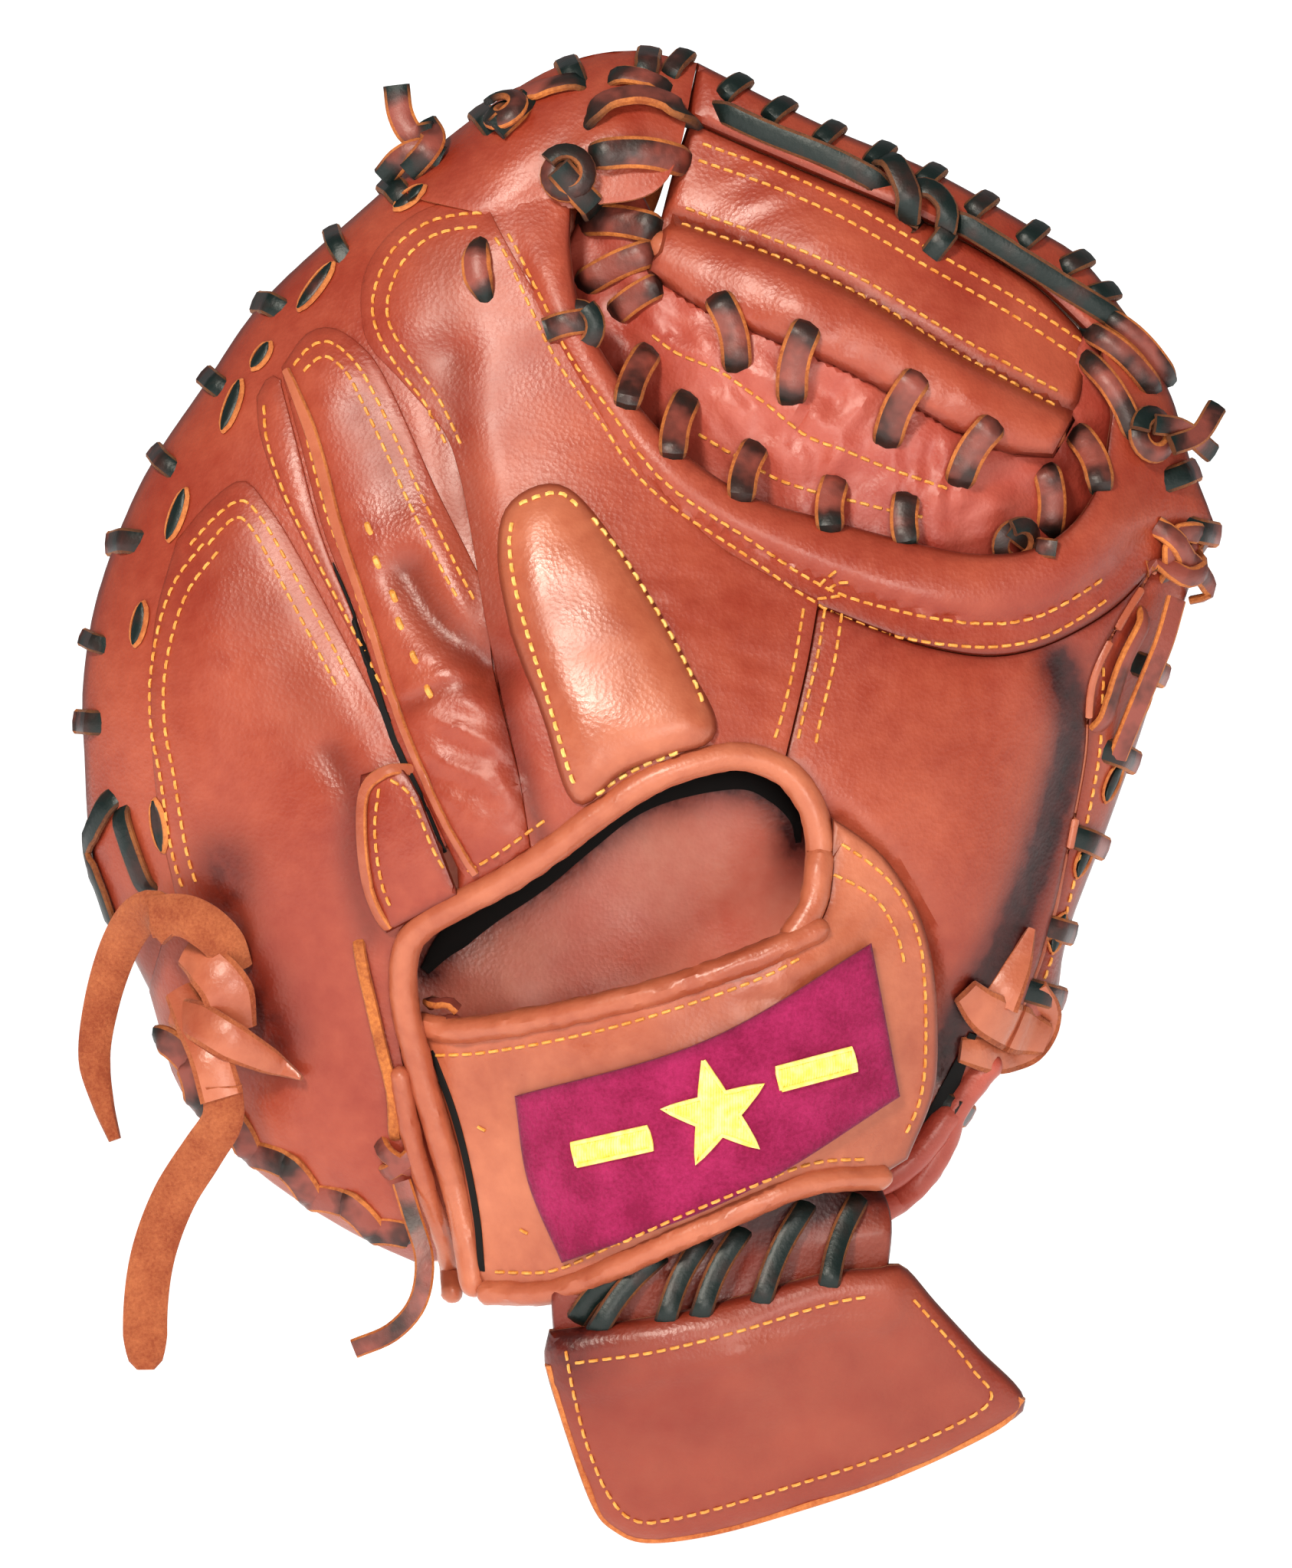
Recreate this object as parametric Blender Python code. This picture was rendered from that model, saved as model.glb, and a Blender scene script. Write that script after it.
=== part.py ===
"""Catcher's mitt for the left hand, held upright with the back of the hand facing -Y.

Shapes are laid out in millimetres in the mitt's own directions: u towards the thumb, v towards
the fingertips, w from the ball side towards the back of the hand. place() turns them into metres,
with X = u, Z = v and Y = CAVITY_W - w, so the origin is the middle of the hand opening.

Leather, felt and linings are panels: an outline in (u, v) with a skin on each side, where the
skins are heights w read from smooth reliefs. Rolls, bindings and laces are swept along paths.
Whatever crosses the thumb fold is made twice, once on each side of the fold line.
"""

import math

import bmesh
import bpy
import numpy as np
from mathutils import Vector, geometry

MM = 0.001

# Driving dimensions, in mm.
CAVITY_W = 52.0        # w of the hand opening's middle, where Y is 0
LEATHER = 3.0          # thickness of the shell leather
LINING = 2.0           # thickness of the linings
SEAM_GAP = 0.5         # each panel stops this far short of the seam line it shares
LAYER_GAP = 1.2        # clearance between stacked layers
GRID = 13.0            # spacing of the points inside a panel
STEP = 8.0             # spacing of the points along an outline
SMALL_GRID = 11.0      # the same inside a narrow or raised panel
LACE_WIDE = 5.7
LACE_THICK = 1.7
THIN_LACE_WIDE = 3.5
RIM_LACE_OUT = 0.4     # clearance between the rim and the lace that runs over it
FRONT_FOLD_GAP = 4.2   # half the clearance at the fold, for layers in front of its axis
BACK_FOLD_GAP = 0.8    # the same for layers behind the axis, which only move apart
BACK_ROUND = 34.0      # how far in from the rim the back takes to round over
PALM_ROUND = 18.0
PALM_RIM = 10.0        # w of the palm leather along the rim
PAD_ROUND = 26.0       # how far in the palm padding takes to reach its full thickness
PAD_STAND_OFF = 1.3    # extra clearance under the padding
PAD_TAPER = 3.0        # how much the padding's underside rises towards the rim
PAD_LEAST = 0.8        # its least thickness
PAD_MARGIN = 2.5       # how far it reaches past the lining's edge
THIN_LINING = 10.5     # how far the lining stands off the palm leather where the padding is thinnest
HEEL_LINE = -42.0      # v where the heel padding takes over from the palm padding
BINDING_IN = 1.2       # the rim binding's clearance inside the silhouette
BINDING_WIDE = 4.0
BINDING_CLEAR = 0.8
LEAST_LEATHER = 1.0
COLLAR_CLEAR = 4.5     # the room kept between the collar and the lining
WEB_THICK = 2.5        # each of the web's two leathers
WEB_DEEP = 6.0         # from the web's back face to its front leather

# The thumb fold's axis, as (u, v, w).
FOLD_LOW = (79.0, -67.0, 20.0)
FOLD_TOP = (63.0, 153.0, 45.0)

# The whole body's silhouette, clockwise from the heel. The web's top edge is the run WEB_TOP.
HEEL = [(50, -79), (20, -86), (-15, -92), (-47, -92), (-68, -82), (-87, -69), (-104, -51), (-112, -27)]
LITTLE_EDGE = [
    HEEL[-1], (-125, 1), (-128, 31), (-128, 50), (-124, 71), (-114, 96), (-99, 119), (-83, 141),
    (-54, 167),
]
TIPS = [LITTLE_EDGE[-1], (-30, 185), (-12, 195), (4, 198), (20, 195)]
WEB_TOP = [TIPS[-1], (49, 180), (75, 169), (99, 156), (112, 148), (124, 133)]
THUMB_EDGE = [
    WEB_TOP[-1], (133, 116), (138, 100), (144, 85), (139, 72), (131, 48), (125, 30), (117, 8),
    (109, -13), (105, -32), (90, -47), (80, -62), (70, -75), HEEL[0],
]

# Seam lines on the back.
BORDER_SEAM = [
    (-48, 164), (-69, 141), (-91, 113), (-104, 88), (-109, 62), (-110, 40), (-107, 15), (-103, -4),
]
RING_LEFT = [(-80, 118), (-83, 106), (-79, 93), (-71, 76), (-62, 58), (-53, 42)]
MIDDLE_LEFT = [(-76, 124), (-71, 100), (-64, 74), (-53, 42)]
MIDDLE_LOW = [(-53, 42), (-45, 22), (-36, -3)]
MIDDLE_RIGHT = [(-57, 133), (-53, 119), (-42, 97), (-33, 74), (-28, 50), (-22, 26), (-19, 8)]
INDEX_RIGHT = [(-30, 157), (-23, 144), (-17, 133), (-9, 120), (1, 104), (11, 92)]
INDEX_NOTCH = [(-6, 90), (3, 101), INDEX_RIGHT[-1]]
PINKY_TOP = [RING_LEFT[0], (-85, 118), (-90, 112)]
RING_TOP = [MIDDLE_LEFT[0], (-80, 124), (-85, 118), RING_LEFT[0]]
MIDDLE_TOP = [MIDDLE_RIGHT[0], (-64, 143), (-67, 140), (-80, 124), MIDDLE_LEFT[0]]
INDEX_TOP = [INDEX_RIGHT[0], (-46, 161), (-63, 144), MIDDLE_RIGHT[0]]
TIPS_LOW = [
    [TIPS[-1], (12, 165), (-10, 160)], [(-10, 160), (-28, 158)], [(-28, 158), (-46, 164), TIPS[0]],
]
PAD_RIGHT = [(-6, 90), (4, 75), (14, 57), (20, 43), (24, 31)]
KNUCKLE_TOP = [(11, 92), (23, 80), (34, 72), (48, 66)]
THUMB_TOP = [(48, 66), (62, 60), (74, 56), (89, 54), (102, 56), (116, 62), (126, 70)]
THUMB_CORNER = [THUMB_TOP[-1], THUMB_EDGE[3]]
THUMB_HEEL = [(64, -60), (78, -57), (88, -46)]
COLLAR_INNER = [
    (-10, 160), (-11, 145), (-8, 132), (2, 116), (14, 102), (31, 92), (50, 86), (69, 82), (84, 80),
    (98, 82), (108, 88), (116, 98), (120, 112),
]
COLLAR_START = [COLLAR_INNER[0], (-27, 155)]
COLLAR_END = [[THUMB_EDGE[3], THUMB_EDGE[2], (133, 112)], [(133, 112), COLLAR_INNER[-1]]]
T_SEAM = [(48, 66), (45, 50), (40, 29)]
OPENING_LEFT = [(-52, -27), (-50, -13), (-36, -3)]
OPENING_MIDDLE = [(-36, -3), (-27, 3), (-19, 8)]
OPENING_INDEX = [(-19, 8), (-4, 17), (12, 28), (24, 31)]
OPENING_RIGHT = [(24, 31), (32, 32), (40, 29)]
OPENING_END = [(40, 29), (49, 17), (52, 6), (51, -6), (56, -30), (64, -60)]
HEEL_ROLL = [(-52, -27), (-49, -46), (-45, -63), (-40, -79), (-37, -90)]
THUMB_SEAM = [(126, 70), (118, 58), (113, 45), (112, 29), (109, 13), (104, -13), (97, -32), (88, -46)]

# The web's leathers, its roll and top strip, and the palm leather's edge in front of it.
WEB_BODY = [
    [(15, 163), (12, 156)],
    [(12, 156), (26, 147), (44, 137), (64, 127), (82, 117), (93, 112), (106, 111)],
    [(106, 111), (113, 128)],
    [(113, 128), (98, 143), (74, 156), (48, 167), (18, 181)],
]
WEB_STRIP = [
    [TIPS[-1], (18, 182)], [(18, 182), (48, 168), (74, 157), (98, 144), (114, 129)],
    [(114, 129), WEB_TOP[-1]],
]
WEB_ROLL = [(12, 150), (24, 141), (42, 131), (62, 121), (80, 111), (92, 106), (103, 105)]
PALM_EDGE = [
    TIPS[-1], (12, 165), (5, 146), (9, 133), (22, 126), (40, 117), (60, 107), (78, 99), (92, 93),
    (106, 93), (114, 108), (120, 126), WEB_TOP[-1],
]

# The palm lining's edge, inside the rim and the palm leather's edge.
LINING_EDGE = [
    (50, -69), (20, -76), (-15, -82), (-45, -82), (-63, -73), (-80, -61), (-95, -45), (-102, -25),
    (-115, 2), (-118, 31), (-118, 49), (-114, 68), (-105, 91), (-91, 112), (-75, 133), (-48, 158),
    (-26, 174), (-10, 183), (1, 182), (1, 166), (-5, 148), (-1, 130), (16, 117), (36, 108), (56, 98),
    (75, 90), (91, 83), (108, 83), (120, 92), (128, 96), (133, 85), (129, 72), (121, 50), (115, 32),
    (107, 11), (99, -10), (95, -29), (84, -40), (72, -54), (64, -65), (50, -69),
]

# Raised pads, the stiffeners under the back, and the rolls and laces along their middles.
INDEX_PAD = [
    (-24, 58), (-27, 74), (-26, 86), (-20, 92), (-12, 93), (-4, 86), (8, 68), (18, 50), (24, 38),
    (22, 32), (12, 29), (2, 25), (-6, 18), (-11, 21), (-16, 37), (-21, 50), (-24, 58),
]
KNUCKLE_GUARD = [
    [(-58, 24), (-57, 12), (-54, -2), (-51, -11)], [(-51, -11), (-36, -3)], [(-36, -3), (-46, 22)],
    [(-46, 22), (-51, 27), (-58, 24)],
]
PINKY_STIFFENER = [
    (-104, 50), (-102, 0), (-96, -22), (-88, -20), (-84, 30), (-86, 70), (-96, 76), (-104, 50),
]
THUMB_STIFFENER = [(107, 44), (104, 10), (96, -18), (90, -14), (92, 20), (96, 46), (107, 44)]
OPENING_ROLL = [
    (-47, -23), (-46, -14), (-35, -7), (-18, 3), (-3, 12), (13, 22), (27, 26), (37, 24), (44, 15), (47, 5),
]
HEEL_ROLL_LINE = [(-47, -28), (-44, -46), (-40, -62), (-35, -78), (-33, -93)]
FINGERTIP_LACE = [(-24, 182), (-14, 188), (-2, 190), (8, 189)]
WEB_LACE_FINGER = [(2, 131), (14, 121), (25, 130), (30, 112), (46, 120), (50, 102), (63, 112)]
WEB_LACE_THUMB = [(71, 111), (72, 96), (84, 104), (95, 92), (108, 100), (115, 92)]
WEB_BRIDGE = [(24, 183), (45, 172), (62, 165), (78, 156), (98, 146), (122, 130)]
WRIST_LACE = [(-60, -13), (-58, -30), (-54, -46), (-52, -62)]

# The strap, its patch and the flap.
STRAP_TOP_ROLL = [(-35, -36), (-13, -32), (11, -26), (34, -19), (43, -14)]
STRAP_LOW_ROLL = [(-26, -95), (-14, -95), (2, -87), (23, -77), (45, -69), (60, -68)]
STRAP_SHOULDER = [(43, -19.5), (50, -10), (52, 5)]
STRAP_END = [(58, 9), (68, 0), (74, -18), (73, -40), (69, -61)]
STRAP_START = [(-26, -90.2), (-30, -75), (-36, -55), (-38, -42)]
STRAP_CORNER = [(-38, -42), (-35, -41.5)]
STRAP_INNER = [
    [(-34, -42), (-13, -38), (11, -32), (34, -25), (46, -20)],
    [(46, -20), (49, -60)],
    [(49, -60), (44, -64), (23, -72), (2, -82), (-14, -90), (-23, -90)],
    [(-23, -90), (-26, -75), (-32, -55), (-34, -42)],
]
PATCH = [
    [(-23, -50), (22, -36), (60, -14)], [(60, -14), (67, -50)], [(67, -50), (30, -72), (-12, -89)],
    [(-12, -89), (-20, -70), (-23, -50)],
]
FLAP_HUMP = [(-15, -107), (5, -104), (20, -102), (35, -98), (50, -95), (64, -97)]
FLAP_EDGE = [
    (64, -97), (72, -100), (84, -112), (96, -122), (90, -129), (68, -140), (45, -147), (24, -153),
    (8, -155), (0, -152), (-5, -146), (-11, -128), (-16, -112), (-15, -107),
]
FLAP_TONGUE = [(-10, -101.5), (5, -98.5), (20, -96.5), (35, -92.5), (50, -89.5), (60, -90)]

# The free tails, as (u, v, w) along their middles.
PINKY_SHORT = [
    (-103, -12, 56), (-108, -7, 53), (-113, -9, 48), (-118, -17, 42), (-122, -29, 38), (-124, -42, 36),
    (-122, -53, 36), (-119, -62, 37),
]
PINKY_LONG = [
    (-92, -48, 60), (-92, -56, 58), (-97, -64, 54), (-104, -75, 50), (-109, -88, 47), (-111, -101, 46),
    (-111, -116, 46),
]
WRIST_TAIL = [
    (-50, -74, 58), (-47, -82, 60), (-44.5, -90, 61), (-46, -99, 61), (-52, -106, 60), (-61, -110, 59),
]
THUMB_TAIL = [(134, 67, 40), (131, 57, 42), (127, 47, 42), (123, 37, 40), (120, 29, 37)]


def place(u, v, w):
    """The world position, in metres, of a point given in the mitt's own directions."""
    return Vector((u * MM, (CAVITY_W - w) * MM, v * MM))


def fold_u(v):
    """Where the fold line crosses this v."""
    share = (v - FOLD_LOW[1]) / (FOLD_TOP[1] - FOLD_LOW[1])
    return FOLD_LOW[0] + (FOLD_TOP[0] - FOLD_LOW[0]) * share


# ---------------------------------------------------------------- curves and outlines

def smooth_run(points, step=STEP):
    """A smooth open run through the points, with a point about every step."""
    found = []
    last = len(points) - 1
    for i in range(last):
        corners = [points[max(i - 1, 0)], points[i], points[i + 1], points[min(i + 2, last)]]
        a, b, c, d = (np.array(p, float) for p in corners)
        count = max(1, round(float(np.linalg.norm(c - b)) / step))
        for k in range(count):
            t = k / count
            found.append(0.5 * (2 * b + (c - a) * t + (2 * a - 5 * b + 4 * c - d) * t ** 2
                                + (3 * b - 3 * c + d - a) * t ** 3))
    found.append(np.array(points[-1], float))
    return found


def loop_of(*runs, step=STEP):
    """A closed outline from smooth runs, with a corner wherever one run ends and the next starts."""
    loop = []
    for run in runs:
        for point in smooth_run(run, step):
            if not loop or np.linalg.norm(point - loop[-1]) > 0.8:
                loop.append(point)
    if np.linalg.norm(loop[0] - loop[-1]) < 0.8:
        loop.pop()
    return loop


def turned_left(loop):
    """The loop running anticlockwise."""
    area = sum(a[0] * b[1] - b[0] * a[1] for a, b in zip(loop, loop[1:] + loop[:1]))
    return loop if area > 0 else loop[::-1]


def inset(loop, by):
    """The loop moved inwards by this much."""
    loop = turned_left(loop)
    moved = []
    for i, point in enumerate(loop):
        before = point - loop[i - 1]
        after = loop[(i + 1) % len(loop)] - point
        before = before / np.linalg.norm(before)
        after = after / np.linalg.norm(after)
        inward = np.array((-before[1] - after[1], before[0] + after[0]))
        inward = inward / max(float(np.linalg.norm(inward)), 1e-6)
        slant = max(0.5, float(inward @ np.array((-before[1], before[0]))))
        moved.append(point + inward * by / slant)
    return moved


def kept_side(loop, side, gap):
    """The loop cut by the fold line, moved gap towards the kept side (-1 little finger, 1 thumb)."""
    def over(point):
        return side * (point[0] - fold_u(point[1])) - gap

    kept = []
    for i, point in enumerate(loop):
        last = loop[i - 1]
        if (over(last) > 0) != (over(point) > 0):
            share = over(last) / (over(last) - over(point))
            kept.append(last + (point - last) * share)
        if over(point) > 0:
            kept.append(point)
    cut = []
    for i, point in enumerate(kept):
        last = kept[i - 1]
        pieces = max(1, round(float(np.linalg.norm(point - last)) / STEP * 0.8))
        on_fold = abs(over(last)) < 0.01 and abs(over(point)) < 0.01
        if on_fold:
            cut += [last + (point - last) * k / pieces for k in range(1, pieces)]
        cut.append(point)
    return [p for i, p in enumerate(cut) if np.linalg.norm(p - cut[i - 1]) > 0.4]


def inside(point, loop):
    """Whether the point lies inside the loop."""
    hit = False
    for i, b in enumerate(loop):
        a = loop[i - 1]
        if (a[1] > point[1]) != (b[1] > point[1]):
            if point[0] < a[0] + (b[0] - a[0]) * (point[1] - a[1]) / (b[1] - a[1]):
                hit = not hit
    return hit


def distance(point, line, closed=True):
    """The distance from the point to the line through these points."""
    line = np.array(line)
    starts = line if closed else line[:-1]
    runs = (np.roll(line, -1, axis=0) if closed else line[1:]) - starts
    size = np.maximum((runs ** 2).sum(1), 1e-9)
    share = np.clip(((point - starts) * runs).sum(1) / size, 0, 1)
    return float(np.linalg.norm(starts + runs * share[:, None] - point, axis=1).min())


# ---------------------------------------------------------------- reliefs

class Relief:
    """A smooth height through a few heights (u, v, w), as a thin plate bends through them."""

    def __init__(self, heights):
        heights = np.array(heights, float)
        self.at = heights[:, :2]
        count = len(heights)
        matrix = np.zeros((count + 3, count + 3))
        matrix[:count, :count] = self.bend(self.at)
        matrix[:count, count:] = np.column_stack((np.ones(count), self.at))
        matrix[count:, :count] = matrix[:count, count:].T
        self.weights = np.linalg.solve(matrix, np.append(heights[:, 2], (0, 0, 0)))

    def bend(self, points):
        gap = np.linalg.norm(points[:, None] - self.at[None], axis=2) + 1e-9
        return gap ** 2 * np.log(gap)

    def __call__(self, u, v):
        flat = self.weights[-3] + self.weights[-2] * u + self.weights[-1] * v
        return float(self.bend(np.array([[u, v]]))[0] @ self.weights[:-3] + flat)


SILHOUETTE = turned_left(loop_of(HEEL, LITTLE_EDGE, TIPS, WEB_TOP, THUMB_EDGE))

RIM_BACK = Relief([
    (-87, -69, 24), (-126, 10, 20), (-114, 96, 20), (-54, 167, 26), (4, 198, 34), (124, 133, 32),
    (144, 85, 26), (125, 30, 24), (105, -32, 30), (70, -75, 38), (0, -90, 30),
])
CROWN = Relief([
    (-115, 40, 46), (-105, -20, 44), (-85, -60, 46), (-60, -75, 50), (-90, 90, 48), (-65, 135, 48),
    (-35, 165, 50), (-5, 185, 48), (-60, 60, 62), (-30, 120, 58), (-60, 0, 66), (-40, 10, 74),
    (-45, -40, 60), (-10, 25, 82), (20, 32, 84), (42, 28, 80), (52, -5, 76), (0, 70, 74),
    (30, 60, 74), (20, 100, 62), (-10, 140, 56), (60, 60, 70), (60, 85, 60), (90, 62, 62),
    (90, 0, 62), (90, -35, 56), (72, -70, 52), (62, -35, 60), (115, 60, 54), (130, 90, 44),
    (115, 20, 48), (108, 92, 56),
])
WEB = Relief([
    (18, 188, 40), (12, 150, 48), (50, 150, 57), (60, 116, 60), (60, 174, 44), (90, 160, 42),
    (120, 138, 36), (108, 105, 50), (90, 120, 56), (85, 102, 57), (30, 132, 56),
])
POCKET = Relief([
    (-110, 40, 2), (-100, -30, 2), (-60, -75, 1), (-20, -80, 0), (20, -75, 0), (60, -65, 1),
    (90, -30, 2), (110, 10, 3), (120, 50, 6), (128, 80, 10), (-90, 90, 2), (-60, 140, 4),
    (-20, 175, 8), (5, 180, 14), (8, 140, 30), (25, 114, 40), (60, 97, 42), (90, 89, 38),
    (106, 96, 28), (45, 60, 38), (45, 30, 32), (20, 60, 28), (70, 50, 34), (10, 10, 16),
    (45, -5, 18), (-20, 60, 14), (-50, 60, 5), (0, 100, 24), (-30, 110, 10), (-30, 20, 8),
    (0, -30, 5), (50, -35, 6), (80, 10, 18), (100, 50, 18),
])
PADDING = Relief([
    (0, -50, 25), (-100, 40, 16), (45, 60, 10.5), (45, 30, 11), (-60, -60, 22), (-40, 110, 17),
    (60, 95, 10.5), (25, 114, 10.5), (100, 30, 15), (90, -30, 22), (10, 10, 15), (-20, 60, 16),
    (-20, 165, 15), (106, 96, 12), (45, -5, 14),
])
STRAP = Relief([
    (-40, -38, 60), (-30, -80, 58), (-10, -33, 80), (-5, -85, 74), (20, -28, 88), (25, -60, 87),
    (46, -14, 86), (50, -60, 80), (58, 2, 81), (72, -20, 74), (69, -60, 68), (20, -78, 82),
])
HANGING = Relief([
    (-16, -108, 66), (30, -100, 70), (70, -98, 66), (40, -130, 58), (0, -150, 54), (94, -124, 54),
    (30, -112, 70), (50, -147, 54),
])


def rounding(point, reach):
    """0 at the rim, rising as a quarter of an ellipse to 1 at this reach from it."""
    t = min(1.0, distance(np.array(point), SILHOUETTE) / reach)
    return math.sqrt(1 - (1 - t) ** 2)


def back(u, v):
    """The outer face of the back leathers."""
    rim = RIM_BACK(u, v)
    return rim + (CROWN(u, v) - rim) * rounding((u, v), BACK_ROUND)


def palm(u, v):
    """The outer face of the palm leather. In front of the web it has no rim to round over."""
    return PALM_RIM + (POCKET(u, v) - PALM_RIM) * rounding((u, v), PALM_ROUND)


def lining(u, v):
    """The hand's side of the palm lining."""
    extra = max(0.0, PADDING(u, v) - THIN_LINING)
    return palm(u, v) + THIN_LINING + extra * rounding((u, v), PAD_ROUND)


# ---------------------------------------------------------------- making objects

def material(name, colour, roughness):
    """A plain material in this sRGB colour."""
    made = bpy.data.materials.new(name)
    made.use_nodes = True
    shader = made.node_tree.nodes["Principled BSDF"]
    linear = [(channel / 255) ** 2.2 for channel in colour]
    shader.inputs["Base Color"].default_value = (*linear, 1)
    shader.inputs["Roughness"].default_value = roughness
    shader.inputs["Metallic"].default_value = 0.0
    return made


def add_mesh(name, points, faces, finish):
    """A closed mesh object of these world points, with its faces pointing out."""
    mesh = bpy.data.meshes.new(name)
    mesh.from_pydata([tuple(p) for p in points], [], faces)
    shape = bmesh.new()
    shape.from_mesh(mesh)
    bmesh.ops.recalc_face_normals(shape, faces=shape.faces)
    if shape.calc_volume(signed=True) < 0:
        bmesh.ops.reverse_faces(shape, faces=shape.faces)
    shape.to_mesh(mesh)
    shape.free()
    mesh.shade_smooth()
    mesh.set_sharp_from_angle(angle=math.radians(40))
    mesh.materials.append(finish)
    made = bpy.data.objects.new(name, mesh)
    bpy.context.collection.objects.link(made)
    return made


def filled(loop, spacing=GRID):
    """Points and triangles that fill the loop. The loop's own points come first, in order."""
    low = np.min(loop, axis=0)
    high = np.max(loop, axis=0)
    points = [Vector(p) for p in loop]
    row_step = spacing * math.sqrt(0.75)
    for row in range(math.floor(low[1] / row_step), math.ceil(high[1] / row_step) + 1):
        shift = 0.5 * (row % 2)
        for column in range(math.floor(low[0] / spacing) - 1, math.ceil(high[0] / spacing) + 1):
            point = np.array(((column + shift) * spacing, row * row_step))
            if inside(point, loop) and distance(point, loop) > 0.45 * spacing:
                points.append(Vector(point))
    rim = list(range(len(loop)))
    edges = [(i, (i + 1) % len(loop)) for i in rim]
    found = geometry.delaunay_2d_cdt(points, edges, [rim], 1, 1e-5)
    return [np.array(p) for p in found[0]], [tuple(face) for face in found[2]]


def panel(name, loop, outer, inner, finish, spacing=GRID):
    """A closed panel over the loop, from the skin inner(u, v) to the skin outer(u, v)."""
    flat, triangles = filled(turned_left(loop), spacing)
    count = len(flat)
    points = [place(*p, outer(*p)) for p in flat] + [place(*p, inner(*p)) for p in flat]
    uses = {}
    for a, b, c in triangles:
        for edge in ((a, b), (b, c), (c, a)):
            uses[tuple(sorted(edge))] = uses.get(tuple(sorted(edge)), 0) + 1
    faces = list(triangles) + [(c + count, b + count, a + count) for a, b, c in triangles]
    for a, b in (edge for edge, times in uses.items() if times == 1):
        faces += [(a, b, b + count), (a, b + count, a + count)]
    return add_mesh(name, points, faces, finish)


def halves(name, loop, outer, inner, finish, gap, spacing=GRID):
    """The panel made as two nodes that meet at the fold."""
    loop = turned_left(loop)
    for word, side in (("finger", -1), ("thumb", 1)):
        panel(f"{name}_{word}", kept_side(loop, side, gap), outer, inner, finish, spacing)


def leather(name, loop, top, finish, spacing=GRID):
    """One leather panel whose outer face is the relief top."""
    return panel(name, inset(loop, SEAM_GAP), top, lambda u, v: top(u, v) - LEATHER, finish, spacing)


def swept(name, path, wide, thick, finish, sides=8):
    """A bar along the path of (u, v, w): wide across the mitt's back and thick in w.

    sides 4 gives a flat lace and 8 a round roll.
    """
    path = [np.array(p, float) for p in path]
    points = []
    faces = []
    for i, p in enumerate(path):
        run = path[min(i + 1, len(path) - 1)] - path[max(i - 1, 0)]
        across = np.array((-run[1], run[0], 0.0))
        across = across / max(float(np.linalg.norm(across)), 1e-6)
        up = np.cross(run, across)
        up = up / float(np.linalg.norm(up))
        for k in range(sides):
            turn = 2 * math.pi * (k + 0.5) / sides
            reach = math.sqrt(2) / 2 if sides == 4 else 0.5
            point = p + reach * (across * wide * math.cos(turn) + up * thick * math.sin(turn))
            points.append(place(*point))
    for i in range(len(path) - 1):
        for k in range(sides):
            a, b = i * sides + k, i * sides + (k + 1) % sides
            faces.append((a, b, b + sides, a + sides))
    last = (len(path) - 1) * sides
    faces += [tuple(range(sides)), tuple(range(last + sides - 1, last - 1, -1))]
    return add_mesh(name, points, faces, finish)


def on_relief(run, height, lift, step=STEP):
    """A smooth run of (u, v) laid on a relief, raised by lift."""
    return [(p[0], p[1], height(p[0], p[1]) + lift) for p in smooth_run(run, step)]


def side_of(path, side, gap):
    """The stretch of the path on one side of the fold, ending gap short of it."""
    return [p for p in path if side * (p[0] - fold_u(p[1])) > gap]


def knot(name, centre, size, finish):
    """A tied knot as a faceted pebble of this size (u, v, w)."""
    shape = bmesh.new()
    bmesh.ops.create_icosphere(shape, subdivisions=2, radius=0.5)
    points = [place(*(np.array(centre) + np.array(vert.co) * np.array(size))) for vert in shape.verts]
    faces = [tuple(vert.index for vert in face.verts) for face in shape.faces]
    shape.free()
    return add_mesh(name, points, faces, finish)


def cord(name, route, thick, finish):
    """A free cord's solid: a round tube along a smooth curve through the route's points."""
    points = smooth_run(route, step=thick * 2.2)
    curve = bpy.data.curves.new(name, "CURVE")
    curve.dimensions = "3D"
    curve.bevel_depth = thick / 2 * MM
    curve.bevel_resolution = 2
    curve.use_fill_caps = True
    spline = curve.splines.new("POLY")
    spline.points.add(len(points) - 1)
    for point, p in zip(spline.points, points):
        point.co = (*place(*p), 1)
    curve.materials.append(finish)
    made = bpy.data.objects.new(name, curve)
    bpy.context.collection.objects.link(made)
    return made


# ---------------------------------------------------------------- the mitt's sub-parts

def strip_beside(run, near, far):
    """A band along the run, from near to far on its left."""
    line = smooth_run(run)
    sides = []
    for by in (near, far):
        moved = []
        for i, point in enumerate(line):
            along = line[min(i + 1, len(line) - 1)] - line[max(i - 1, 0)]
            along = along / np.linalg.norm(along)
            moved.append(point + by * np.array((-along[1], along[0])))
        sides.append(moved)
    return sides[0] + sides[1][::-1]


def above(loop, level, side):
    """The loop's part above (side 1) or below (side -1) this v."""
    kept = []
    for i, point in enumerate(loop):
        last = loop[i - 1]
        if (side * (last[1] - level) > 0) != (side * (point[1] - level) > 0):
            kept.append(last + (point - last) * (level - last[1]) / (point[1] - last[1]))
        if side * (point[1] - level) > 0:
            kept.append(point)
    return [p for i, p in enumerate(kept) if np.linalg.norm(p - kept[i - 1]) > 0.4]


def shifted(run, by):
    """The run moved up by this much in v."""
    return [(u, v + by) for u, v in run]


def swell(point, loop, reach):
    """0 on the loop, rising as a quarter of an ellipse to 1 at this reach inside it."""
    edge = min(1.0, distance(np.array(point), loop) / reach)
    return math.sqrt(1 - (1 - edge) ** 2)


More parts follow.
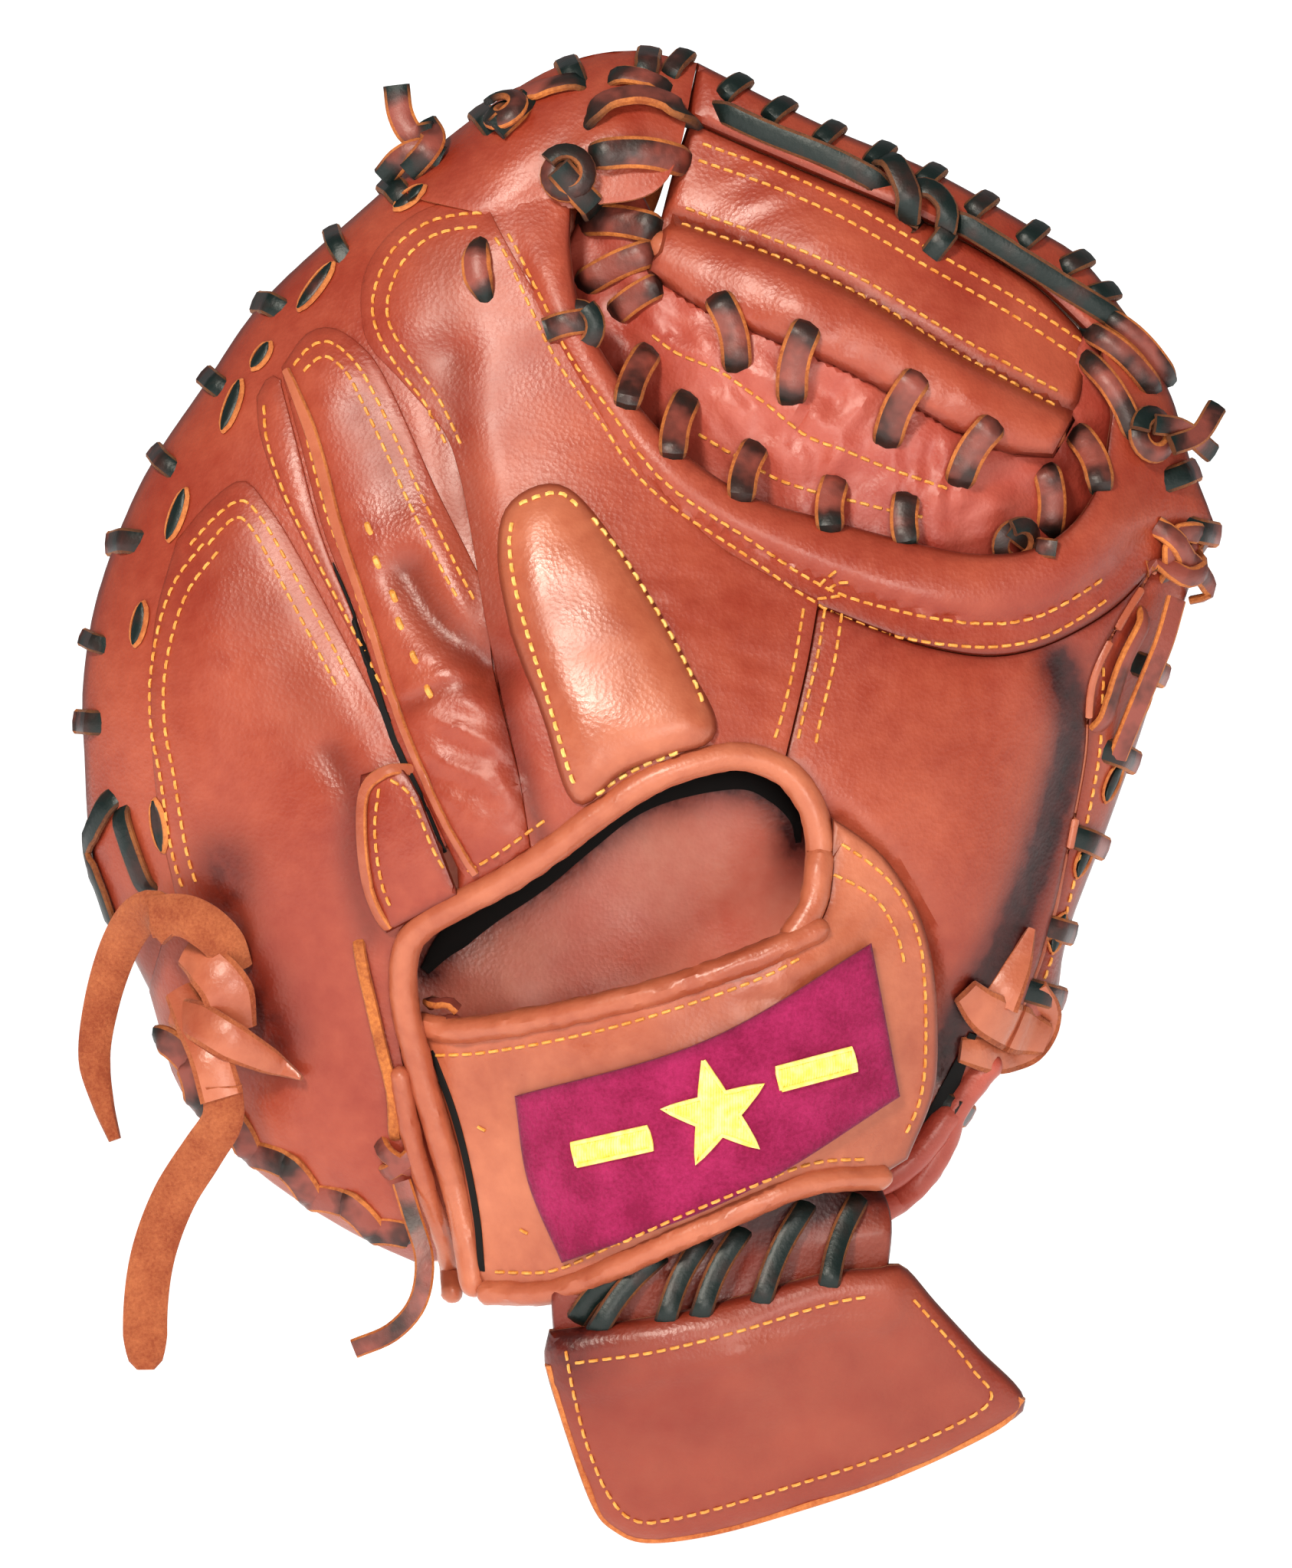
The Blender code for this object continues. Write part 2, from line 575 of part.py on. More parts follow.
def build_palm(looks):
    """Palm leather, its felt padding, the lining that the hand lies on and the rim binding."""
    def under(u, v):
        stand_off = PAD_STAND_OFF + PAD_TAPER * (1 - rounding((u, v), PAD_ROUND))
        return palm(u, v) + LEATHER + LAYER_GAP + stand_off

    def over(u, v):
        return max(lining(u, v) - LINING - LAYER_GAP, under(u, v) + PAD_LEAST)

    outline = loop_of(HEEL, LITTLE_EDGE, TIPS, PALM_EDGE, THUMB_EDGE)
    halves("palm_leather", inset(outline, 1.0), lambda u, v: palm(u, v) + LEATHER, palm,
           looks["shell"], FRONT_FOLD_GAP)
    inner = loop_of(LINING_EDGE)
    pad = inset(inner, -PAD_MARGIN)
    halves("palm_padding", above(pad, HEEL_LINE + SEAM_GAP, 1), over, under, looks["felt"],
           FRONT_FOLD_GAP)
    heel = kept_side(above(pad, HEEL_LINE - SEAM_GAP, -1), -1, FRONT_FOLD_GAP)
    panel("heel_padding", heel, over, under, looks["felt"])
    halves("palm_lining", inner, lining, lambda u, v: lining(u, v) - LINING,
           looks["lining"], BACK_FOLD_GAP)

    stretches = (
        ("finger", (HEEL[3:], LITTLE_EDGE, TIPS[:-1])),
        ("thumb", (THUMB_EDGE[2:-2],)),
    )
    for word, runs in stretches:
        line = []
        for run in runs:
            line += [tuple(p) for p in smooth_run(run)][bool(line):]
        band = strip_beside(line, -BINDING_IN, -BINDING_IN - BINDING_WIDE)
        panel(f"rim_binding_{word}", band, lambda u, v: RIM_BACK(u, v) - BINDING_CLEAR,
              lambda u, v: PALM_RIM + LEATHER + LAYER_GAP, looks["edge"])


def build_fingers(looks):
    """The border, the pinky back, the three stalls and the leather over the fingertips."""
    shell = looks["shell"]
    wrist_end = [BORDER_SEAM[-1], HEEL[-1]]
    top_end = [LITTLE_EDGE[-1], BORDER_SEAM[0]]
    leather("back_border", loop_of(LITTLE_EDGE, top_end, BORDER_SEAM, wrist_end), back, shell, SMALL_GRID)
    pinky = loop_of(BORDER_SEAM[2:], wrist_end, HEEL[:2:-1], [HEEL[3], HEEL_ROLL[-1]], HEEL_ROLL[::-1],
                    OPENING_LEFT, MIDDLE_LOW[::-1], RING_LEFT[::-1], PINKY_TOP)
    leather("pinky_back", pinky, back, shell)
    ring = loop_of(RING_LEFT, MIDDLE_LEFT[::-1], RING_TOP)
    leather("ring_stall", ring, back, shell)
    middle = loop_of(MIDDLE_LEFT, MIDDLE_LOW, OPENING_MIDDLE, MIDDLE_RIGHT[::-1], MIDDLE_TOP)
    leather("middle_stall", middle, back, shell)
    index = loop_of(MIDDLE_RIGHT, OPENING_INDEX, PAD_RIGHT[::-1], INDEX_NOTCH[:2], INDEX_RIGHT[-2::-1],
                    INDEX_TOP)
    leather("index_stall", index, back, shell)
    leather("fingertip_panel", loop_of(TIPS, *TIPS_LOW), back, shell, SMALL_GRID)


def build_hand_back(looks):
    """The leathers beside and below the collar, the collar itself and the palm edge strip."""
    shell = looks["shell"]
    knuckle = loop_of(PAD_RIGHT, OPENING_RIGHT, T_SEAM[::-1], KNUCKLE_TOP[::-1], INDEX_NOTCH[::-1])
    leather("knuckle_panel", knuckle, back, shell)
    thumb = loop_of(T_SEAM, OPENING_END, THUMB_HEEL, THUMB_SEAM[::-1], THUMB_TOP[::-1])
    for word, side in (("inner", -1), ("outer", 1)):
        half = kept_side(inset(thumb, SEAM_GAP), side, BACK_FOLD_GAP)
        panel(f"thumb_back_{word}", half, back, lambda u, v: back(u, v) - LEATHER, shell)
    outer = loop_of(THUMB_EDGE[3:-4], [THUMB_EDGE[-5], THUMB_SEAM[-1]], THUMB_SEAM[::-1], THUMB_CORNER)
    leather("thumb_outer_panel", outer, back, shell, SMALL_GRID)

    def collar_under(u, v):
        full = back(u, v) - LEATHER - 2.0 * rounding((u, v), BACK_ROUND)
        return min(back(u, v) - LEAST_LEATHER, max(full, lining(u, v) + COLLAR_CLEAR))

    collar = loop_of(INDEX_RIGHT, KNUCKLE_TOP, THUMB_TOP, THUMB_CORNER, *COLLAR_END, COLLAR_INNER[::-1],
                     COLLAR_START)
    halves("collar", inset(collar, SEAM_GAP + 0.2), back, collar_under, shell, BACK_FOLD_GAP)
    strip = loop_of(PALM_EDGE[2:-2], COLLAR_INNER[-2:0:-1], [COLLAR_INNER[1], PALM_EDGE[2]])
    panel("palm_edge_strip", kept_side(inset(strip, 1.5), -1, BACK_FOLD_GAP),
          lambda u, v: lining(u, v) + LAYER_GAP + LINING, lambda u, v: lining(u, v) + LAYER_GAP,
          looks["edge"])


def build_pads(looks):
    """The raised index pad, the knuckle guard and the two stiffeners under the back leather."""
    pad = loop_of(INDEX_PAD)
    panel("index_pad", inset(pad, 1.0),
          lambda u, v: back(u, v) + LAYER_GAP + 2.0 + 4.0 * swell((u, v), pad, 9.0),
          lambda u, v: back(u, v) + LAYER_GAP, looks["tan"], SMALL_GRID)
    panel("knuckle_guard", inset(loop_of(*KNUCKLE_GUARD), 0.8), lambda u, v: back(u, v) + LAYER_GAP + 2.0,
          lambda u, v: back(u, v) + LAYER_GAP, looks["tan"])
    inner_face = LEATHER + LAYER_GAP
    for name, loop in (("pinky_stiffener", PINKY_STIFFENER), ("thumb_stiffener", THUMB_STIFFENER)):
        panel(name, loop_of(loop), lambda u, v: back(u, v) - inner_face,
              lambda u, v: back(u, v) - inner_face - 2.0, looks["felt"])


def build_rolls(looks):
    """The rolled bindings round the hand opening and down the heel."""
    swept("opening_binding", on_relief(OPENING_ROLL, back, -2.0), 7.0, 8.0, looks["tan"])
    swept("heel_roll_finger", on_relief(HEEL_ROLL_LINE, back, -1.0), 6.5, 8.0, looks["shell"])


def build_web(looks):
    """The web's two leathers, the roll along its low edge and the strip along its top."""
    body = inset(loop_of(*WEB_BODY), SEAM_GAP)
    shell = looks["shell"]
    halves("web_back_panel", body, WEB, lambda u, v: WEB(u, v) - WEB_THICK, shell, BACK_FOLD_GAP)
    halves("web_front_panel", body, lambda u, v: WEB(u, v) - WEB_DEEP,
           lambda u, v: WEB(u, v) - WEB_DEEP - WEB_THICK, shell, BACK_FOLD_GAP)
    strip = loop_of(*WEB_STRIP, WEB_TOP[::-1])
    halves("web_top_strip", inset(strip, 0.6), lambda u, v: WEB(u, v) + 0.5, lambda u, v: WEB(u, v) - 7.5,
           shell, FRONT_FOLD_GAP / 2)
    roll = on_relief(WEB_ROLL, WEB, -4.0)
    for word, side in (("finger", -1), ("thumb", 1)):
        swept(f"web_roll_{word}", side_of(roll, side, BACK_FOLD_GAP), 9.0, 9.0, looks["tan"])


def build_laces(looks):
    """The rim lace along each edge, and the laces that lie on the back, each as one strip."""
    lace = looks["lace"]
    rims = (
        ("finger", [(-98, -61), (-113, -36), (-121, -14)] + LITTLE_EDGE[2:], 15.0),
        ("thumb", THUMB_EDGE[4:10], 16.0),
    )
    for word, line, height in rims:
        band = strip_beside([tuple(p) for p in smooth_run(line)], RIM_LACE_OUT, RIM_LACE_OUT + LACE_THICK)
        panel(f"rim_lace_{word}", band, lambda u, v: height + LACE_WIDE / 2,
              lambda u, v: height - LACE_WIDE / 2, lace)

    def flat(name, path, wide=LACE_WIDE):
        swept(name, path, wide, LACE_THICK, lace, 4)

    flat("fingertip_lace", on_relief(FINGERTIP_LACE, back, 2.5))
    flat("web_lace_finger", [(u, v, WEB(u, v) + 3.5) for u, v in WEB_LACE_FINGER])
    flat("web_lace_thumb", [(u, v, WEB(u, v) + 6.0) for u, v in WEB_LACE_THUMB])
    bridge = on_relief(WEB_BRIDGE, WEB, 3.6)
    for word, side in (("finger", -1), ("thumb", 1)):
        flat(f"web_bridge_lace_{word}", side_of(bridge, side, BACK_FOLD_GAP))
    flat("wrist_lace", on_relief(WRIST_LACE, back, 2.2), THIN_LACE_WIDE)


def build_ties(looks):
    """The wide suede ties with their knots, and every free tail."""
    suede = looks["suede"]
    for name, (u, v), lift, size in (("pinky_tie_knot", (-94, -30), 12.5, (22, 28, 11)),
                                     ("thumb_tie_knot", (93, -33), 12.0, (20, 16, 10))):
        knot(name, (u, v, back(u, v) + lift), size, suede)
    cord("pinky_tie_short_tail", PINKY_SHORT, 7.0, suede)
    cord("pinky_tie_long_tail", PINKY_LONG, 7.0, suede)
    cord("wrist_lace_tail", WRIST_TAIL, 3.6, looks["lace"])
    cord("thumb_edge_tail", THUMB_TAIL, 3.2, looks["lace"])


def build_strap(looks):
    """The wrist strap: leather, padding, lining, two bindings and the felt patch."""
    tan = looks["tan"]
    face = loop_of(shifted(STRAP_TOP_ROLL, -5.5), STRAP_SHOULDER, STRAP_END,
                   [STRAP_END[-1]] + shifted(STRAP_LOW_ROLL, 4.8)[::-1], STRAP_START, STRAP_CORNER)
    panel("strap_leather", inset(face, 0.4), STRAP, lambda u, v: STRAP(u, v) - LEATHER, tan)
    inner = loop_of(*STRAP_INNER)
    body = inset(inner, 1.0)
    top = LEATHER + LAYER_GAP

    def padded(u, v):
        return STRAP(u, v) - top - 2.0 - 5.0 * swell((u, v), inner, 8.0)

    panel("strap_padding", body, lambda u, v: STRAP(u, v) - top, padded, looks["felt"])
    panel("strap_lining", body, lambda u, v: padded(u, v) - LAYER_GAP,
          lambda u, v: padded(u, v) - LAYER_GAP - LINING, looks["lining"])
    swept("strap_top_binding", on_relief(STRAP_TOP_ROLL, STRAP, -2.0), 8.0, 8.0, tan)
    swept("strap_low_binding", on_relief(STRAP_LOW_ROLL, STRAP, -2.0), 6.4, 7.0, tan)
    panel("strap_patch", inset(loop_of(*PATCH), SEAM_GAP), lambda u, v: STRAP(u, v) + LAYER_GAP + 1.5,
          lambda u, v: STRAP(u, v) + LAYER_GAP, looks["patch"])


def build_flap(looks):
    """The padded wrist flap: its face, padding, back and the lace strip along its top."""
    body = loop_of(FLAP_HUMP, FLAP_EDGE)
    cover_gap = 2 * LAYER_GAP
    shell = looks["shell"]

    def half_thick(u, v):
        return 0.75 + 4.5 * swell((u, v), body, 14.0)

    def top(u, v):
        return HANGING(u, v) + half_thick(u, v)

    def low(u, v):
        return HANGING(u, v) - half_thick(u, v)

    panel("flap_padding", inset(body, 2.5), top, low, looks["felt"])
    panel("flap_face", inset(body, 0.3), lambda u, v: top(u, v) + cover_gap + LEATHER,
          lambda u, v: top(u, v) + cover_gap, shell)
    panel("flap_back", inset(body, 0.3), lambda u, v: low(u, v) - cover_gap,
          lambda u, v: low(u, v) - cover_gap - LINING, shell)
    swept("flap_tongue", [(u, v, HANGING(u, v) + 1.0) for u, v in FLAP_TONGUE], 7.0, 3.0, shell, 4)


def main():
    for old in list(bpy.data.objects):
        bpy.data.objects.remove(old)
    looks = {
        "shell": material("shell_leather", (190, 90, 75), 0.45),
        "tan": material("tan_leather", (196, 118, 80), 0.45),
        "felt": material("felt", (225, 215, 200), 0.95),
        "lining": material("lining_leather", (185, 95, 80), 0.6),
        "edge": material("edge_leather", (200, 125, 75), 0.6),
        "lace": material("lace_leather", (62, 48, 48), 0.4),
        "suede": material("suede", (205, 130, 85), 0.9),
        "patch": material("patch_felt", (165, 35, 95), 0.95),
    }
    build_palm(looks)
    build_fingers(looks)
    build_hand_back(looks)
    build_pads(looks)
    build_rolls(looks)
    build_web(looks)
    build_laces(looks)
    build_ties(looks)
    build_strap(looks)
    build_flap(looks)


main()
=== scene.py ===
"""The looks of the catcher's mitt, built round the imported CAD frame.

Shapes are laid out in millimetres in the mitt's own directions, as in the design: u towards the
thumb, v towards the fingertips, w from the ball side out through the back of the hand. place()
turns them into metres in the frame. Leathers are panels: an outline with a height read from a
relief. Stitches, laces, rolls and ties are swept along paths that are laid on those panels.
"""

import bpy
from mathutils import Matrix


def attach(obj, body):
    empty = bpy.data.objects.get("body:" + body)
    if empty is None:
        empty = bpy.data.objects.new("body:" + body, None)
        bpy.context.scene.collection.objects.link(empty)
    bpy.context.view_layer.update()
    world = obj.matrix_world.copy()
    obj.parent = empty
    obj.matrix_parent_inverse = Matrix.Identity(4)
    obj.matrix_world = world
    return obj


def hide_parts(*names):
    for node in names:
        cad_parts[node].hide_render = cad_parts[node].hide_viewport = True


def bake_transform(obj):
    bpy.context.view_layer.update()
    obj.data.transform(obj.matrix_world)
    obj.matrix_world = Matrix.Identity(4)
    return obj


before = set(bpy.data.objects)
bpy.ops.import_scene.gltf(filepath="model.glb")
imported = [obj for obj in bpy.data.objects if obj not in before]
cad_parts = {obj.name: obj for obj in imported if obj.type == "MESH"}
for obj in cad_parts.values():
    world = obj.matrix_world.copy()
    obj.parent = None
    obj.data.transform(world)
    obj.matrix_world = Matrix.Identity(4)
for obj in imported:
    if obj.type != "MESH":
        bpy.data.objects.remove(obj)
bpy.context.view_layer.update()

import math

import bmesh
import bpy
import numpy as np
from mathutils import Vector, geometry, noise
from mathutils.bvhtree import BVHTree

MM = 0.001
CAVITY_W = 52.0        # w of the frame's origin
LEATHER = 3.0          # how thick a panel is, unless it says otherwise
LACE_WIDE = 6.0
LACE_THICK = 1.7
BACK_ROUND = 34.0      # how far in from the rim the back, the palm and the padding reach full height
PALM_ROUND = 18.0
PAD_ROUND = 26.0
PALM_RIM = 10.0        # w of the palm leather at the rim
THIN_LINING = 10.5     # the lining's height above the palm leather where the felt is thinnest

ROOM_LIGHT = 0.24      # the room's brightness, apart from the white backdrop that the camera sees
PHOTO_LENS = 156.4     # mm, on a 36 mm sensor
CAMERA_PLACE = (0.0077, -1.61, 0.0229)      # metres: straight in front of the back of the hand

HEEL = [(50, -79), (20, -86), (-15, -92), (-47, -92), (-68, -82), (-87, -69), (-104, -51), (-112, -27)]
LITTLE_EDGE = [
    HEEL[-1], (-125, 1), (-128, 31), (-128, 50), (-124, 71), (-114, 96), (-99, 119), (-83, 141),
    (-54, 167),
]
TIPS = [LITTLE_EDGE[-1], (-30, 185), (-12, 195), (4, 198), (20, 195)]
WEB_TOP = [TIPS[-1], (49, 180), (75, 169), (99, 156), (112, 148), (124, 133)]
THUMB_EDGE = [
    WEB_TOP[-1], (133, 116), (138, 100), (144, 85), (139, 72), (131, 48), (125, 30), (117, 8), (109, -13),
    (105, -32), (90, -47), (80, -62), (70, -75), HEEL[0],
]
PALM_EDGE = [
    TIPS[-1], (12, 165), (5, 146), (9, 133), (22, 126), (40, 117), (60, 107), (78, 99), (92, 93),
    (106, 93), (114, 108), (120, 126), WEB_TOP[-1],
]
LINING_EDGE = [
    (50, -69), (20, -76), (-15, -82), (-45, -82), (-63, -73), (-80, -61), (-95, -45), (-102, -25),
    (-115, 2), (-118, 31), (-118, 49), (-114, 68), (-105, 91), (-91, 112), (-75, 133), (-48, 158),
    (-26, 174), (-10, 183), (1, 182), (1, 166), (-5, 148), (-1, 130), (16, 117), (36, 108), (56, 98),
    (75, 90), (91, 83), (108, 83), (120, 92), (128, 96), (133, 85), (129, 72), (121, 50), (115, 32),
    (107, 11), (99, -10), (95, -29), (84, -40), (72, -54), (64, -65), (50, -69),
]

# Seams on the back.
BLACK_SLIT = [(-79, 118), (-74, 100), (-70, 85), (-66, 74), (-61, 62), (-56, 47), (-51, 32), (-45, 20),
              (-37, 3)]
INDEX_CREASE = [(-38, 122), (-36, 95), (-33, 80), (-30, 62), (-27, 48)]
INDEX_LOW = [(-27, 48), (-24, 35), (-20, 22), (-17, 11)]
COLLAR_LOW = [
    (-31, 157), (-28, 147), (-23, 136), (-17, 124.5), (-9, 111), (0, 98), (13, 84), (29, 74), (42, 67),
    (52, 63), (62, 59), (74, 55), (88, 53), (100, 55), (111, 60), (120, 66), (128, 74),
]
THUMB_SEAM = [(128, 74), (119, 60), (113, 47), (112, 30), (109, 13), (104, -10), (97, -30), (88, -46)]


def place(points):
    """World positions, in metres, of points (u, v, w) in mm."""
    points = np.asarray(points, float)
    return np.column_stack((points[:, 0], CAVITY_W - points[:, 2], points[:, 1])) * MM


# ---------------------------------------------------------------- curves and outlines

def smooth_run(points, step=2.5):
    """A smooth open run through the points, evenly spaced, in as many dimensions as they have."""
    points = np.array(points, float)
    if len(points) == 2:
        fine = points
    else:
        ends = np.vstack((2 * points[0] - points[1], points, 2 * points[-1] - points[-2]))
        t = np.linspace(0, 1, 13)[:-1, None]
        fine = []
        for a, b, c, d in zip(ends, ends[1:], ends[2:], ends[3:]):
            fine.append(0.5 * (2 * b + (c - a) * t + (2 * a - 5 * b + 4 * c - d) * t ** 2
                               + (3 * b - 3 * c + d - a) * t ** 3))
        fine = np.vstack(fine + [points[-1:]])
    along = np.concatenate(([0], np.cumsum(np.linalg.norm(np.diff(fine, axis=0), axis=1))))
    count = max(1, round(along[-1] / step))
    at = np.linspace(0, along[-1], count + 1)
    return np.column_stack([np.interp(at, along, fine[:, k]) for k in range(fine.shape[1])])


def loop_of(*runs, step=2.5):
    """A closed outline from smooth runs, with a corner wherever one run ends and the next starts."""
    loop = []
    for run in runs:
        for point in smooth_run(run, step):
            if not loop or np.linalg.norm(point - loop[-1]) > 0.4:
                loop.append(point)
    while np.linalg.norm(loop[0] - loop[-1]) < 0.4:
        loop.pop()
    loop = np.array(loop)
    after = np.roll(loop, -1, axis=0)
    turned = (loop[:, 0] * after[:, 1] - after[:, 0] * loop[:, 1]).sum() > 0
    return loop if turned else loop[::-1].copy()


def inset(loop, by):
    """The anticlockwise loop moved inwards by this much."""
    before = loop - np.roll(loop, 1, axis=0)
    after = np.roll(loop, -1, axis=0) - loop
    before = before / np.linalg.norm(before, axis=1)[:, None]
    after = after / np.linalg.norm(after, axis=1)[:, None]
    inward = np.column_stack((-before[:, 1] - after[:, 1], before[:, 0] + after[:, 0]))
    inward = inward / np.maximum(np.linalg.norm(inward, axis=1), 1e-6)[:, None]
    slant = np.maximum(0.5, -inward[:, 0] * before[:, 1] + inward[:, 1] * before[:, 0])
    return loop + inward * (by / slant)[:, None]


def inside(points, loop):
    """Which of the points lie inside the loop."""
    hit = np.zeros(len(points), bool)
    for a, b in zip(np.roll(loop, 1, axis=0), loop):
        if a[1] == b[1]:
            continue
        crosses = (a[1] > points[:, 1]) != (b[1] > points[:, 1])
        hit ^= crosses & (points[:, 0] < a[0] + (b[0] - a[0]) * (points[:, 1] - a[1]) / (b[1] - a[1]))
    return hit


def distance(points, line, closed=True):
    """Each point's distance to the line."""
    line = np.asarray(line, float)
    starts = line if closed else line[:-1]
    runs = (np.roll(line, -1, axis=0) if closed else line[1:]) - starts
    size = np.maximum((runs ** 2).sum(1), 1e-9)
    least = []
    for part in np.array_split(points, max(1, len(points) // 2000)):
        gap = part[:, None] - starts[None]
        share = np.clip((gap * runs).sum(2) / size, 0, 1)
        least.append(np.linalg.norm(gap - runs * share[:, :, None], axis=2).min(1))
    return np.concatenate(least)


def graded(path, at, values):
    """Values along the path, given at these shares of its length."""
    return np.interp(np.linspace(0, 1, len(path)), at, values)


def on(relief, line, lift):
    """The line of (u, v) at this lift above a relief."""
    return np.column_stack((line, relief(line) + lift))


def unit(vectors):
    return vectors / np.maximum(np.linalg.norm(vectors, axis=-1, keepdims=True), 1e-9)


def swell(d, reach):
    """0 at the line, rising as a quarter of an ellipse to 1 at this reach from it."""
    return np.sqrt(1 - (1 - np.clip(d / reach, 0, 1)) ** 2)


# ---------------------------------------------------------------- reliefs

class Relief:
    """A smooth height through a few heights (u, v, w), as a thin plate bends through them."""

    def __init__(self, heights):
        heights = np.array(heights, float)
        self.at = heights[:, :2]
        count = len(heights)
        matrix = np.zeros((count + 3, count + 3))
        matrix[:count, :count] = self.bend(self.at)
        matrix[:count, count:] = np.column_stack((np.ones(count), self.at))
        matrix[count:, :count] = matrix[:count, count:].T
        self.weights = np.linalg.solve(matrix, np.append(heights[:, 2], (0, 0, 0)))

    def bend(self, points):
        gap = np.linalg.norm(points[:, None] - self.at[None], axis=2) + 1e-9
        return gap ** 2 * np.log(gap)

    def __call__(self, points):
        return self.bend(points) @ self.weights[:-3] + self.weights[-3] + points @ self.weights[-2:]


SILHOUETTE = loop_of(HEEL, LITTLE_EDGE, TIPS, WEB_TOP, THUMB_EDGE, step=6)
RIM_BACK = Relief([
    (-87, -69, 24), (-126, 10, 20), (-114, 96, 20), (-54, 167, 26), (4, 198, 34), (124, 133, 32),
    (144, 85, 26), (125, 30, 24), (105, -32, 30), (70, -75, 38), (0, -90, 30),
])
CROWN = Relief([
    (-115, 40, 46), (-105, -20, 44), (-85, -60, 46), (-60, -75, 50), (-90, 90, 48), (-65, 135, 48),
    (-35, 165, 50), (-5, 185, 48), (-60, 60, 62), (-30, 120, 58), (-60, 0, 66), (-40, 10, 74),
    (-45, -40, 60), (-10, 25, 82), (20, 32, 84), (42, 28, 80), (52, -5, 76), (0, 70, 74), (30, 60, 74),
    (20, 100, 62), (-10, 140, 56), (60, 60, 70), (60, 85, 60), (90, 62, 62), (90, 0, 62), (90, -35, 56),
    (72, -70, 52), (62, -35, 60), (115, 60, 54), (130, 90, 44), (115, 20, 48), (108, 92, 56),
])
WEB = Relief([
    (18, 188, 40), (12, 150, 48), (50, 150, 57), (60, 116, 60), (60, 174, 44), (90, 160, 42),
    (120, 138, 36), (108, 105, 50), (90, 120, 56), (85, 102, 57), (30, 132, 56),
])
POCKET = Relief([
    (-110, 40, 2), (-100, -30, 2), (-60, -75, 1), (-20, -80, 0), (20, -75, 0), (60, -65, 1), (90, -30, 2),
    (110, 10, 3), (120, 50, 6), (128, 80, 10), (-90, 90, 2), (-60, 140, 4), (-20, 175, 8), (5, 180, 14),
    (8, 140, 30), (25, 114, 40), (60, 97, 42), (90, 89, 38), (106, 96, 28), (45, 60, 38), (45, 30, 32),
    (20, 60, 28), (70, 50, 34), (10, 10, 16), (45, -5, 18), (-20, 60, 14), (-50, 60, 5), (0, 100, 24),
    (-30, 110, 10), (-30, 20, 8), (0, -30, 5), (50, -35, 6), (80, 10, 18), (100, 50, 18),
])
PADDING = Relief([
    (0, -50, 25), (-100, 40, 16), (45, 60, 10.5), (45, 30, 11), (-60, -60, 22), (-40, 110, 17),
    (60, 95, 10.5), (25, 114, 10.5), (100, 30, 15), (90, -30, 22), (10, 10, 15), (-20, 60, 16),
    (-20, 165, 15), (106, 96, 12), (45, -5, 14),
])
STRAP = Relief([
    (-40, -38, 60), (-30, -80, 58), (-10, -33, 80), (-5, -85, 74), (20, -28, 88), (25, -60, 87),
    (46, -14, 86), (50, -60, 80), (58, 2, 81), (72, -20, 74), (69, -60, 68), (20, -78, 82),
])
HANGING = Relief([
    (-16, -108, 66), (30, -100, 70), (70, -98, 66), (40, -130, 58), (0, -150, 54), (94, -124, 54),
    (30, -112, 70), (50, -147, 54),
])


def rounding(points, reach):
    """0 at the rim, rising to 1 at this reach from it."""
    return swell(distance(points, SILHOUETTE), reach)


def back(points):
    rim = RIM_BACK(points)
    return rim + (CROWN(points) - rim) * rounding(points, BACK_ROUND)


def palm(points):
    return PALM_RIM + (POCKET(points) - PALM_RIM) * rounding(points, PALM_ROUND)


def lining(points):
    extra = np.maximum(0.0, PADDING(points) - THIN_LINING)
    return palm(points) + THIN_LINING + extra * rounding(points, PAD_ROUND)


# Creases pressed into the back leathers: line, depth, width and how much painted shade darkens them.
CREASES = [
    (INDEX_CREASE, 1.6, 6.0, 0.18),
    (INDEX_LOW, 1.2, 3.0, 0.3),
    ([(-48, 72), (-42, 62), (-34, 54), (-27, 49)], 3.0, 5.0, 0.3),
    ([(-30, 46), (-40, 45), (-48, 41)], 0.9, 2.2, 0.15),
    ([(105, 52), (109, 38), (105, 18), (99, 0), (91, -18), (83, -30), (77, -45)], 2.8, 5.2, 0.66),
    ([(-92, 4), (-91, -12), (-86, -24), (-80, -38)], 0.5, 8.0, 0.4),
    ([(-66, 30), (-61, 20), (-61, 5), (-57, -12)], 1.4, 4.0, 0.25),
    ([(-44, 120), (-40, 132), (-40, 146)], 0.5, 7.0, 0.12),
    ([(-50, 90), (-54, 102), (-60, 112)], 0.8, 6.0, 0.14),
    ([(-70, 40), (-78, 60), (-88, 74)], 0.5, 9.0, 0.1),
]

# Puckered places: middle, reach, height, the direction the folds run in degrees and their spacing.
WRINKLES = [
    (14, 66, 15, 0.55, 5, 3.4), (30, 48, 10, 0.4, -10, 3.2), (-36, 31, 14, 0.9, -25, 5.5),
    (-29, 16, 12, 0.7, 30, 3.0), (-44, 45, 9, 0.5, 10, 3.0), (28, 92, 14, 0.35, -30, 4.0),
    (-21, 22, 9, 0.6, -60, 2.6), (60, -8, 12, 0.3, 60, 4.0), (-75, 60, 20, 0.25, 60, 9.0),
    (70, 20, 25, 0.25, 80, 12.0), (100, 92, 12, 0.4, 40, 5.0), (-20, 176, 14, 0.35, 25, 5.0),
]


